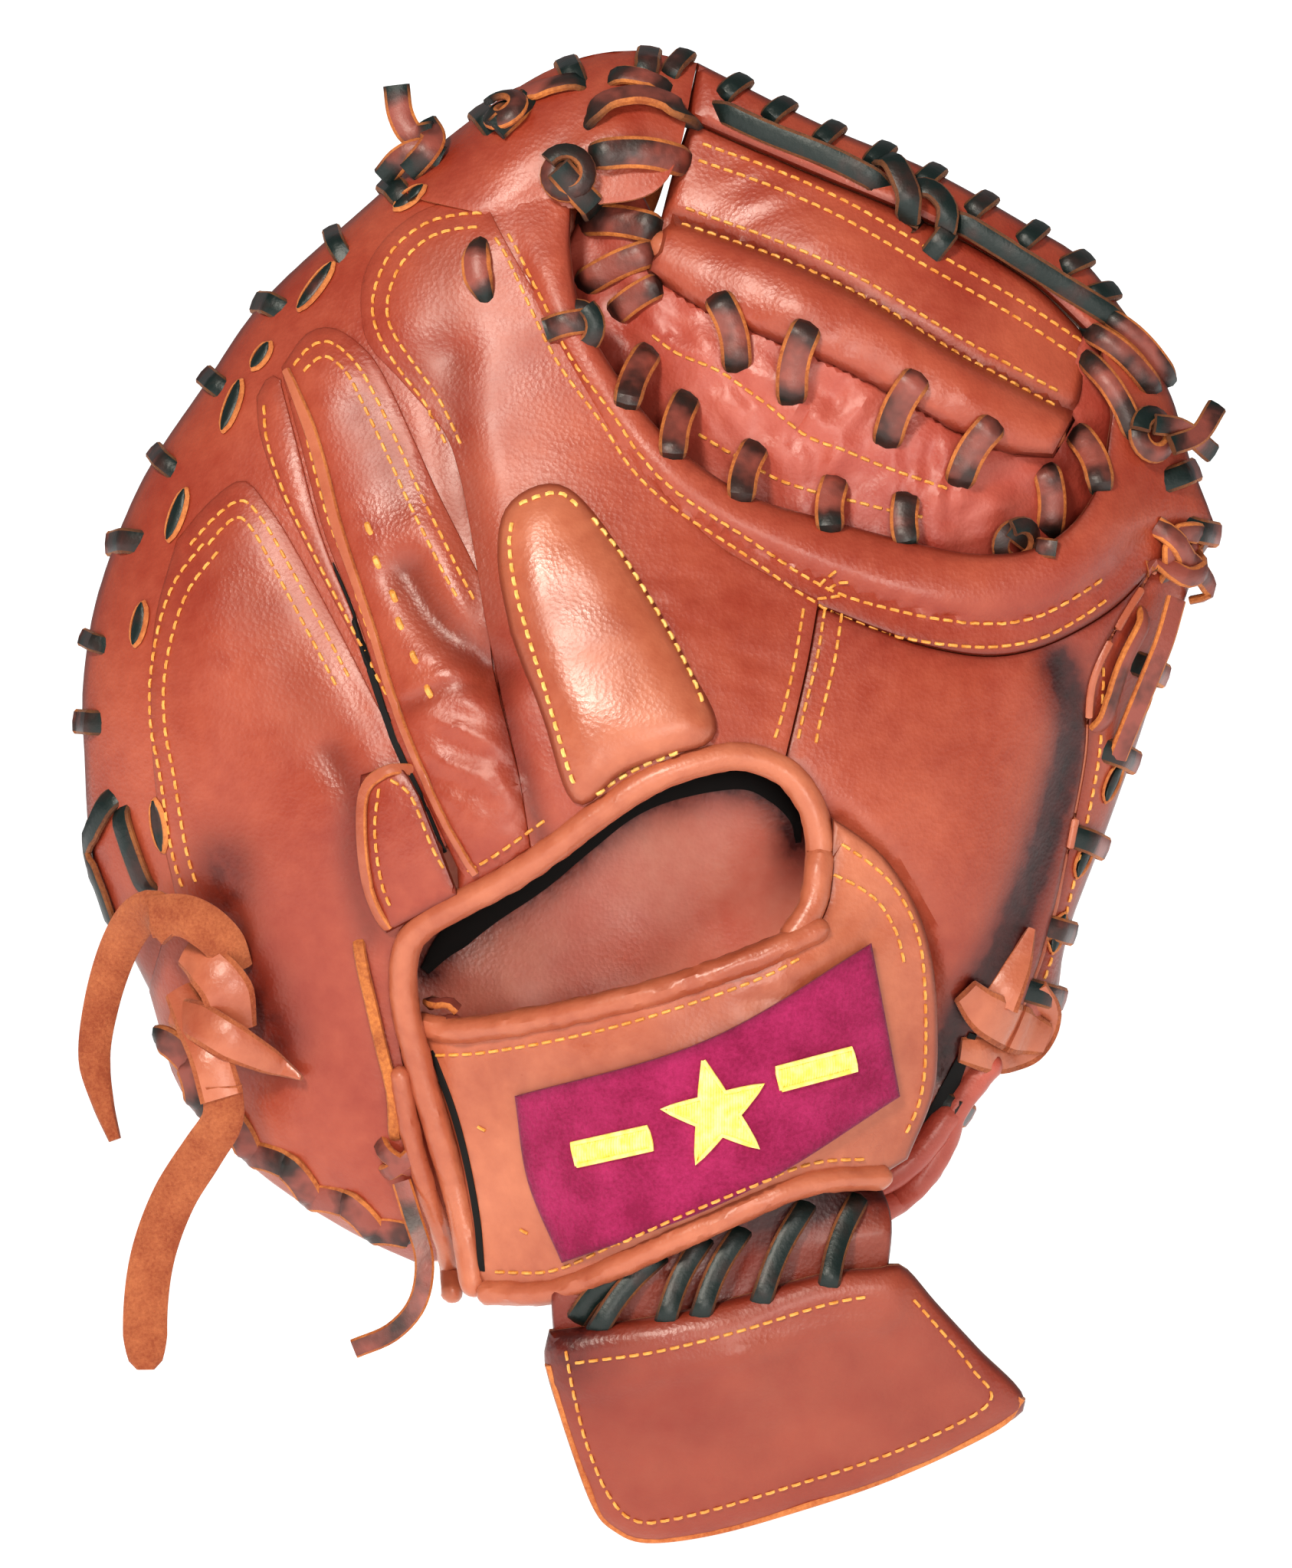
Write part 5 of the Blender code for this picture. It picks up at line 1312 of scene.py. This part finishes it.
def build_emblem():
    """A plain star between two bars, in satin stitch: each shape is rows of thread across it."""
    star = []
    for k in range(10):
        turn = math.pi / 2 + k * math.pi / 5
        reach = 12.5 if k % 2 == 0 else 5.2
        star.append((reach * math.cos(turn), reach * math.sin(turn)))
    bar = [(-9, -2.6), (9, -2.6), (9, 2.6), (-9, 2.6)]
    sewn = Sweep()
    tilt = math.radians(14)
    for shape, middle in ((star, (24, -53)), (bar, (0, -61)), (bar, (47, -43))):
        shape = np.array(shape)
        shape = np.column_stack((shape[:, 0] * math.cos(tilt) - shape[:, 1] * math.sin(tilt) + middle[0],
                                 shape[:, 0] * math.sin(tilt) + shape[:, 1] * math.cos(tilt) + middle[1]))
        closed = np.vstack([a + (b - a) * t for a, b in zip(shape, np.roll(shape, -1, axis=0))
                            for t in (0.0, 0.25, 0.5, 0.75)])
        edge, normals = touch(np.vstack((closed, closed[:1])), 0.5)
        sewn.tube(edge, 1.1, 1.0, facing=normals, sides=8, cap=0)
        for u in np.arange(shape[:, 0].min() + 0.3, shape[:, 0].max(), 0.62):
            cuts = []
            for a, b in zip(np.roll(shape, 1, axis=0), shape):
                if (a[0] > u) != (b[0] > u):
                    cuts.append(a[1] + (b[1] - a[1]) * (u - a[0]) / (b[0] - a[0]))
            cuts.sort()
            for low, high in zip(cuts[::2], cuts[1::2]):
                if high - low > 0.8:
                    run = np.column_stack((np.full(5, u), np.linspace(low, high, 5)))
                    path, normals = touch(run, (-0.2, 0.55, 0.75, 0.55, -0.2))
                    sewn.tube(path, 0.85, 0.7, facing=normals, sides=6, cap=0)
    sewn.put("emblem", "wrist_strap", finishes=("gold",), slot="patch_felt")


# ---------------------------------------------------------------- laces and ties

def rim_lace(sweep, middle, out, half_reach=9.0, wide=6.0):
    """A lace over the rim at this (u, v), from the back round to the ball side. out points off the rim."""
    middle = np.array(middle, float)
    out = unit(np.array(out, float))
    top = float(RIM_BACK(middle[None])[0])
    low = PALM_RIM
    inner_top, _ = touch([middle - out * half_reach, middle - out * half_reach * 0.6,
                          middle - out * 3.0], (-1.5, 1.0, 1.1))
    inner_low, _ = touch([middle - out * 3.0, middle - out * half_reach * 0.6,
                          middle - out * half_reach], (1.0, 1.0, -1.5), side="palm")
    over = [(*(middle + out * 0.9), top - 3.5), (*(middle + out * 1.6), (top + low) / 2 + 1),
            (*(middle + out * 0.9), low + 3.5)]
    path = smooth_run(np.vstack((inner_top, over, inner_low)), 1.5)
    centre = np.array((*(middle - out * 9.0), (top + low) / 2))
    sweep.ribbon(path, path - centre, wide, 1.7)


def slits(word, ends):
    """Lace slits between these pairs of ends, each with one raw lip broad and one thin."""
    lips = Sweep()
    holes = Sweep(0.3, 0.75)
    t = np.linspace(-1, 1, 9)
    lens = 3.4 * np.sqrt(np.clip(1 - t ** 2, 0.02, 1))
    for a, b in np.array(ends, float):
        along = unit(b - a)
        run = (a + b) / 2 + np.outer(t * np.linalg.norm(b - a) / 2, along)
        path, normals = touch(run, 0.5)
        holes.ribbon(path, normals, lens, 0.9, crown=0.3)
        for side, fat in ((-1, 0.7), (1, 1.7)):
            edge, normals = touch(run + np.outer(side * 0.5 * lens, (-along[1], along[0])), 0.4)
            lips.tube(edge, fat, 0.8, facing=normals, sides=8, cap=0.4)
    lips.put(f"slit_lips_{word}", f"{word}_side", finishes=("raw",), slot="shell_leather")
    holes.put(f"slit_holes_{word}", f"{word}_side", finishes=("lace", "lace"))


def off_rim(point, line):
    """The place on the line nearest to the point, and the way off the rim there."""
    near = int(np.argmin(np.linalg.norm(line - np.array(point), axis=1)))
    run = line[min(near + 2, len(line) - 1)] - line[max(near - 2, 0)]
    return line[near], np.array((-run[1], run[0]))


def build_rim_laces():
    """The laces over the rim, the slits they pass through, and the two laces by the pinky tie."""
    outline = smooth_run(LITTLE_EDGE, 2.0)
    lace = Sweep(0.5, 0.45)
    for number, point in enumerate(((-54, 167), (-68, 155), (-84, 139), (-98, 121), (-110, 102),
                                    (-119, 81), (-126, 58), (-128, 37))):
        at, out = off_rim(point, outline)
        out = unit(out) + 0.34 * math.sin(2.2 * number) * np.array((out[1], -out[0])) / np.linalg.norm(out)
        rim_lace(lace, at, out, 7.0 + 1.2 * math.sin(1.7 * number), 5.4 + 0.8 * math.cos(2.6 * number))
    tips = smooth_run(TIPS, 2.0)
    for point in ((-33, 184), (-12, 195), (8, 198)):
        rim_lace(lace, *off_rim(point, tips), 7.0)
    for line in ([(-119, 21), (-124, 12), (-126, 7), (-122, -3), (-118, -16)],
                 [(-118, 18), (-114, 6), (-110, -4)]):
        lace.strip(line, 1.2, 6.0, 1.6)
    lace.put("rim_laces_finger", "finger_side", "rim_lace_finger")
    slits("finger", (((-45, 165), (-52, 160)), ((-67, 147), (-75, 136)), ((-89, 119), (-93, 107)),
                     ((-102, 93), (-106, 81)), ((-109, 19), (-107, 7)), ((-82, 128), (-86, 122)),
                     ((-112, 66), (-114, 56))))

    thumb_line = smooth_run(THUMB_EDGE, 2.0)
    lace = Sweep(1.0)
    for point in ((139, 98), (143, 83), (132, 50), (124, 28), (116, 8), (109, -13), (105, -28), (84, -57)):
        rim_lace(lace, *off_rim(point, thumb_line))
    lace.put("rim_laces_thumb", "thumb_side", "rim_lace_thumb")
    slits("thumb", (((128, 46), (124, 38)), ((121, 28), (117, 19)), ((114, 10), (110, 1)),
                    ((107, -8), (104, -17))))


def build_seam_edges():
    """The gaping seam as a black strip of painted shadow, the raw edge and the ties beside the ring and
    middle stalls.
    """
    # Painted shadow: a black strip laid on the leather along the gaping seam.
    gap = Sweep()
    line = smooth_run([(-66, 75), (-61, 62), (-56, 47), (-51, 33), (-45, 20), (-39, 7)], 1.5)
    path, normals = touch(line, -0.1)
    fat = 1.9 * np.sqrt(np.clip(1 - np.linspace(-1, 1, len(path)) ** 2, 0.02, 1))
    gap.ribbon(path, normals, fat, 1.0, crown=0.0)
    gap.put("gaping_seam", "finger_side", finishes=("black", "black"), slot="shell_leather")
    raw = Sweep()
    line = smooth_run([(-77.5, 121), (-72, 108), (-68.5, 97), (-65, 84), (-60.5, 71), (-56, 58), (-51, 42),
                       (-45, 27), (-39, 14), (-32, 2)], 1.5)
    path, normals = touch(line, 0.45)
    raw.ribbon(path, normals, graded(path, (0, 0.1, 0.3, 0.45, 1), (2, 3.2, 3, 2.2, 1.8)), 1.3, crown=0.3)
    raw.put("ring_seam_edge", "finger_side", finishes=("tan", "raw"), slot="shell_leather")
    ties = Sweep()
    for u, v in ((-57.5, 83), (-55.5, 75), (-51.5, 67), (-50, 60.5), (-46.5, 52.5), (-43, 44.5)):
        tie = [(u - 0.5, v + 1.1), (u - 0.2, v + 0.5), (u + 0.2, v - 0.5), (u + 0.5, v - 1.1)]
        path, normals = touch(tie, (-0.3, 0.4, 0.4, -0.3))
        ties.tube(path, 1.5, 1.2, facing=normals, sides=8, cap=0.4)
    ties.put("middle_stall_ties", "finger_side", finishes=("thread",), slot="shell_leather")


def build_web_laces():
    """The laces of the web: its top edge, the bridging lace, and the ladder to the palm and collar."""
    teeth = Sweep(0.3, 0.6)
    edge = smooth_run([TIPS[-2]] + WEB_TOP, 1.0)
    for u, v in ((17, 195), (30, 189), (41, 184.5), (53, 179), (65, 173.5), (77, 168), (89, 161.5),
                 (101, 155), (112, 148), (119, 140)):
        near = int(np.argmin(np.linalg.norm(edge - (u, v), axis=1)))
        run = edge[min(near + 3, len(edge) - 1)] - edge[max(near - 3, 0)]
        out = unit(np.array((-run[1], run[0])))
        run = unit(run)
        at = edge[near]
        slanted = out + 0.45 * run
        inner, _ = touch([at - slanted * 5.4, at - slanted * 4.0, at - slanted * 1.8], (-1.6, 1.2, 1.2))
        top = float(WEB(at[None])[0])
        over = [(*(at + out * 1.2), top - 1.0), (*(at + out * 1.2), top - 6.0)]
        below = [(*(at - slanted * 3.0), top - 9.6), (*(at - slanted * 7.0), top - 9.6)]
        path = smooth_run(np.vstack((inner, over, below)), 1.5)
        centre = np.array((*(at - out * 5.0), top - 3.5))
        teeth.ribbon(path, path - centre, 5.0, 1.7)
    teeth.put("web_edge_laces", "fold")

    bridge = Sweep(0.1, 0.72)
    for line in ([(24, 183), (36, 177), (50, 171), (64, 164)],
                 [(80, 156.5), (95, 147.5), (110, 138.5), (122, 131)]):
        path, normals = laid(line, 1.6, dip=1.5)
        bridge.ribbon(path, unit(normals + (-0.2, -0.5, 0.0)), 5.6, 1.3, crown=0.1)
    for line, lift, wide in (([(63, 171), (67, 165), (72, 155)], 4.4, 6.2),
                             ([(70, 164), (76, 161), (79, 154), (75, 148)], 3.2, 5.4)):
        bridge.strip(line, lift, wide, 1.6, crown=0.2, dip=0.5)
    bridge.put("web_bridge_lace", "fold", "web_bridge_lace_finger", "web_bridge_lace_thumb")

    ladder = Sweep(1.0)
    for a, b, wide, bow in (((24, 138), (29, 120), 7.2, 1.6), ((46, 131), (42, 112), 7.6, -1.6),
                            ((72, 119), (64, 102), 7.4, -1.4), ((90, 108), (81, 93), 7.4, -1.4),
                            ((109, 107), (115, 92), 6.8, 1.6), ((102, 98), (103, 82), 6.8, 1.2),
                            ((9, 126), (3, 111), 7.0, -1.0), ((18, 115), (14, 99), 7.0, -1.2),
                            ((34, 103), (30, 89), 7.0, -1.2), ((52.5, 95), (51, 82), 6.8, -1.0),
                            ((69, 91), (69, 79), 6.6, -0.8), ((-6, 171), (18, 170), 7.6, 1.6),
                            ((-8, 157), (11, 154), 7.6, 1.0), ((-8, 141), (10, 149), 7.0, 0.8),
                            ((0, 134), (11, 141), 6.4, 0.6), ((112, 131), (129, 116), 5.6, 1.4),
                            ((116, 135), (133, 119), 5.0, 1.6), ((111, 125), (124, 104), 5.6, 1.6)):
        path = arch(a, b, 1.9, bow=bow)
        share = graded(path, (0, 0.2, 0.8, 1), (0.72, 1, 1, 0.72))
        ladder.ribbon(path, (0, 0, 1), wide * share, 1.8, crown=0.5)
    path, normals = laid([(-6, 180), (0, 184), (9, 184.5), (18, 180)], 3.0, dip=1.0)
    ladder.ribbon(path, (0, 1.0, 1), 5.8, 2.2)
    ladder.put("web_ladder_laces", "fold", "web_lace_finger", "web_lace_thumb")

    knots = Sweep(0.5, 0.25)
    ring_knot(knots, (-11, 166.5), 5.4, 1.3, 0.6, (([(-13, 168), (-8, 162.5), (-4.5, 159)], 6.6),), wide=4.6)
    ring_knot(knots, (-3.5, 131), 5.6, 1.3, 2.2, (([(-4, 132), (-11, 131), (-16, 129.5)], 6.0),), wide=4.8,
              lift=12.0)
    knots.put("web_knots", "finger_side")
    knots = Sweep(0.5, 0.25)
    ring_knot(knots, (92, 81.5), 5.0, 1.3, 1.0, (([(93, 83), (99, 79), (104, 78)], 4.6),), wide=4.2,
              lift=4.0)
    ring_knot(knots, (126, 105), 5.2, 1.3, 0.2, (([(128, 108), (135, 107), (143, 102)], 5.0),
                                                 ([(132, 103), (139, 106), (144, 113)], 5.0)))
    knots.put("thumb_side_knots", "thumb_side")


def build_finger_laces():
    """The fingertip laces and knots, the oval lace on the index stall and the wrist lace."""
    tip = Sweep(1.0)
    for line, wide in (([(-28, 184), (-17, 187.5), (-6, 190)], 5.6),
                       ([(-2, 191), (6, 190), (14, 187)], 5.4)):
        tip.strip(line, 1.3, wide, 1.7)
    ring_knot(tip, (-25, 181), 4.4, 1.2, 0.3, (([(-28, 178), (-24, 182), (-20, 186)], 6.0),))
    for route, wide in (([(-55, 168, 32), (-51, 172, 37), (-46, 174, 38), (-41, 172, 38)], 6.0),
                        ([(-49, 169, 37), (-45, 173, 40), (-43, 177, 38), (-45, 181, 32)], 6.0),
                        ([(-43, 178, 36), (-48, 178, 34), (-51, 183, 33), (-52, 190, 33)], 6.4)):
        tip.ribbon(smooth_run(route, 1.2), (0, 0, 1), wide, 1.8)
    tip.put("fingertip_laces", "finger_side", "fingertip_lace")

    oval = Sweep(1.0)
    path, normals = laid([(-31.5, 151), (-32, 144), (-30, 137.5)], 1.6, dip=1.0, fade=3.0)
    oval.ribbon(path, normals, graded(path, (0, 0.3, 0.7, 1), (4, 7, 7, 4)), 2.2, crown=0.6)
    oval.put("index_lace", "finger_side")

    wrist = Sweep()
    wrist.strip([(-60, -13), (-57.5, -25), (-54.5, -39), (-52, -50), (-51.5, -62)], 1.3, 3.0, 1.6,
                flip=True)
    for line in ([(-55, -62), (-51, -65), (-46.5, -68)], [(-54, -69), (-50, -66), (-46, -63)]):
        wrist.strip(line, 2.6, 4.2, 2.0, dip=0.5, fade=2.0)
    for line in ([(-45, -28), (-41, -30), (-37, -28)], [(-44, -33), (-40, -34), (-36, -32)]):
        wrist.strip(line, 1.2, 3.6, 1.6, fade=2.0)
    wrist.put("wrist_lace_strip", "finger_side", "wrist_lace")

    heel = Sweep(0.7, 0.0)
    chain = smooth_run([(-106, -38), (-100, -50), (-91, -60), (-80, -69), (-68, -77), (-54, -84),
                        (-46, -88)], 1.0)
    for k in range(9):
        near = int((k + 0.5) / 9 * (len(chain) - 4))
        at = chain[near]
        run = unit(chain[near + 3] - at)
        out = np.array((run[1], -run[0])) * (1 if k % 2 else -1)
        path = arch(at - run * 6.4 - out * 2.6, at + run * 6.4 + out * 2.6, 1.6 + 0.9 * (k % 2), bow=1.0)
        share = graded(path, (0, 0.25, 0.75, 1), (0.6, 1, 1, 0.6))
        heel.ribbon(path, (-0.3, -0.3, 1), 7.4 * share, 1.8, crown=0.4)
    heel.put("heel_laces", "finger_side")

    flap = Sweep(0.5, 0.6)
    for a, b in (((12, -86), (-4, -105)), ((22, -82), (12, -103)), ((31, -80), (20, -102)),
                 ((46, -74), (34, -99)), ((58, -73), (50, -95)), ((3, -91), (-9, -103))):
        flap.ribbon(arch(a, b, 1.0, bow=-1.4), (0, 0, 1), 5.2, 1.7)
    flap.put("flap_laces", "flap_laces")


def tail(name, route, wide, thick, finishes, body, node, facing=(0, 0, 1), slot="suede",
         taper=((0, 1), (1, 1))):
    path = smooth_run(route, 2.0)
    strip = Sweep()
    strip.ribbon(path, facing, wide * graded(path, *taper), thick, crown=0.1)
    piece = strip.put(name, body, node, finishes=finishes, slot=slot)


PINKY_SHORT = [
    (-103, -12, 56), (-108, -7, 53), (-113, -9, 48), (-118, -17, 42), (-122, -29, 38), (-124, -42, 36),
    (-122, -53, 36), (-119, -62, 37),
]
PINKY_LONG = [
    (-92, -48, 60), (-92, -56, 58), (-97, -64, 54), (-104, -75, 50), (-109, -88, 47), (-111, -101, 46),
    (-111, -116, 46),
]
WRIST_TAIL = [
    (-50, -71, 54), (-47.5, -79, 55), (-44.5, -89, 58), (-46, -99, 60), (-52, -106, 60), (-61, -110, 59),
]
THUMB_TAIL = [(134, 67, 40), (131, 57, 42), (127, 47, 42), (123, 37, 40), (120, 29, 37)]


def build_ties():
    """The wide suede ties with their knots, and the free tails."""

    def over(route, lift, wide, thick=1.9):
        """A flat strip along this 3-D route, kept above the skin by lift."""
        path = smooth_run(route, 1.2)
        touched, _ = touch(path, lift)
        path[:, 2] = np.maximum(path[:, 2], touched[:, 2])
        knot.ribbon(path, (0, 0, 1), graded(path, np.linspace(0, 1, len(wide)), wide), thick, crown=0.25)

    knot = Sweep()
    over([(-109, -8.5, 54), (-102, -8, 57), (-97, -10, 58), (-92, -14.5, 57), (-89, -21, 53)], 1.6,
         (10, 10, 10.5, 10, 8))
    knot.put("pinky_tie_arch", "finger_side", finishes=("suede", "suede"), slot="suede")
    knot = Sweep()
    over([(-101, -17, 50), (-96, -20, 56), (-91, -26, 58), (-88.5, -35, 55)], 2.0, (7, 11, 12.5, 9))
    over([(-103, -26, 49), (-99, -33, 54), (-95, -41, 59), (-92, -51, 60)], 1.8, (7, 9.5, 10, 10.5))
    over([(-104, -31, 48), (-98, -33, 57), (-90, -37.5, 61), (-81, -42.5, 56), (-73.5, -46.5, 50)], 3.4,
         (7, 9.5, 9.5, 6.5, 1.2))
    knot.put("pinky_tie", "finger_side", "pinky_tie_knot", finishes=("tan", "suede"), slot="suede")

    knot = Sweep()
    over([(99, -11.5, 30), (96, -19, 32), (91, -29, 32)], 1.2, (2, 7, 10))
    over([(101, -25, 28), (103, -32, 32), (99.5, -38, 34), (92, -41, 34), (82, -40, 30)], 1.4,
         (4, 8, 11, 10, 6))
    over([(83, -26, 34), (88, -31, 38), (95, -35, 38), (103, -38, 32)], 3.2, (7, 11, 12, 8))
    knot.put("thumb_tie", "thumb_side", "thumb_tie_knot", finishes=("tan", "suede"), slot="suede")

    tail("pinky_short_tail", PINKY_SHORT, 10.0, 2.0, ("suede", "suede"), "finger_side",
         "pinky_tie_short_tail", taper=((0, 0.2, 0.75, 1), (0.9, 1.0, 0.75, 0.3)))
    tail("pinky_long_tail", PINKY_LONG, 10.5, 2.0, ("suede", "suede"), "finger_side", "pinky_tie_long_tail",
         taper=((0, 0.3, 0.9, 0.97, 1), (0.9, 1.0, 1.0, 0.8, 0.4)))
    tail("wrist_tail", WRIST_TAIL, 4.6, 1.7, ("lace", "cut"), "finger_side", "wrist_lace_tail",
         slot="lace_leather")
    tail("edge_tail", THUMB_TAIL, 5.0, 1.7, ("lace", "cut"), "thumb_side", "thumb_edge_tail",
         slot="lace_leather", facing=(0.4, 0, 1))

    edge = Sweep()
    for line, lift, wide in (([(142, 80), (136, 84), (131, 80), (132, 72)], 2.4, 5.2),
                             ([(129, 84), (134, 78), (140, 71), (139, 67)], 4.0, 5.2),
                             ([(127, 74), (133, 73), (140, 77)], 5.6, 5.0),
                             ([(126, 64), (120, 53), (117, 44), (115, 36)], 2.2, 4.4)):
        edge.strip(line, lift, wide, 1.7, crown=0.4, dip=0.5)
    edge.put("thumb_edge_knot", "thumb_side")


# ---------------------------------------------------------------- stage, camera and light

def repaint():
    """CAD parts that stay in sight take the same finishes."""
    finishes = {"felt": "felt", "shell_leather": "shell", "tan_leather": "tan", "lining_leather": "lining",
                "edge_leather": "strip", "lace_leather": "lace", "suede": "suede", "patch_felt": "patch"}
    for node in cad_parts.values():
        for holder in node.material_slots:
            name = holder.material.name if holder.material else ""
            for slot_name, finish in finishes.items():
                if slot_name in name:
                    holder.material = LOOKS[finish]


def area_light(name, at, aim, size, power, colour=(1, 1, 1)):
    light = bpy.data.lights.new(name, "AREA")
    light.shape = "DISK"
    light.size = size
    light.energy = power
    light.color = colour
    made = bpy.data.objects.new(name, light)
    made.location = at
    made.rotation_euler = (Vector(aim) - Vector(at)).to_track_quat("-Z", "Y").to_euler()
    bpy.context.collection.objects.link(made)


def build_stage():
    """A wide white disc under the mitt, the white room, and the photo's camera and light."""
    floor, wide, sides = -0.160, 4.0, 64
    turns = np.linspace(0, 2 * math.pi, sides + 1)[:-1]
    points = [(0, 0, floor)] + [(wide * math.cos(t), wide * math.sin(t), floor) for t in turns]
    faces = [(0, 1 + k, 1 + (k + 1) % sides) for k in range(sides)]
    mesh = bpy.data.meshes.new("cyclorama")
    mesh.from_pydata(points, [], faces)
    sheet = Finish("cyclorama_white", 0.9, Base_Color=(0.9, 0.9, 0.9, 1), Emission_Color=(1, 1, 1, 1),
                   Emission_Strength=0.75)
    mesh.materials.append(sheet.made)
    made = bpy.data.objects.new("cyclorama", mesh)
    bpy.context.collection.objects.link(made)

    scene = bpy.context.scene
    camera = bpy.data.cameras.new("photo_camera")
    camera.lens = PHOTO_LENS
    camera.sensor_width = 36.0
    camera.clip_start = 0.05
    camera.clip_end = 30.0
    seen = bpy.data.objects.new("photo_camera", camera)
    seen.location = CAMERA_PLACE
    seen.rotation_euler = (math.radians(90), 0, 0)
    bpy.context.collection.objects.link(seen)
    scene.camera = seen

    world = bpy.data.worlds.new("studio_white")
    world.use_nodes = True
    tree = world.node_tree
    seen_ray = tree.nodes.new("ShaderNodeLightPath").outputs["Is Camera Ray"]
    strength = tree.nodes.new("ShaderNodeMapRange")
    tree.links.new(seen_ray, strength.inputs["Value"])
    strength.inputs["To Min"].default_value = ROOM_LIGHT
    strength.inputs["To Max"].default_value = 1.05
    tree.nodes["Background"].inputs["Color"].default_value = (1, 1, 1, 1)
    tree.links.new(strength.outputs["Result"], tree.nodes["Background"].inputs["Strength"])
    scene.world = world
    scene.view_settings.view_transform = "Standard"
    scene.view_settings.look = "Medium High Contrast"
    area_light("key", (-0.52, -1.45, 0.85), (0, 0, 0.02), 0.34, 18.5, (1.0, 0.94, 0.84))
    area_light("fill", (0.25, -2.0, 0.10), (0, 0, 0), 0.4, 10.0, (1.0, 0.94, 0.88))


def main():
    repaint()
    build_back()
    build_palm()
    build_web()
    build_strap()
    build_flap()
    settle()
    build_openings()
    stitch_rows()
    build_emblem()
    build_rim_laces()
    build_seam_edges()
    build_web_laces()
    build_finger_laces()
    build_ties()
    build_stage()


main()
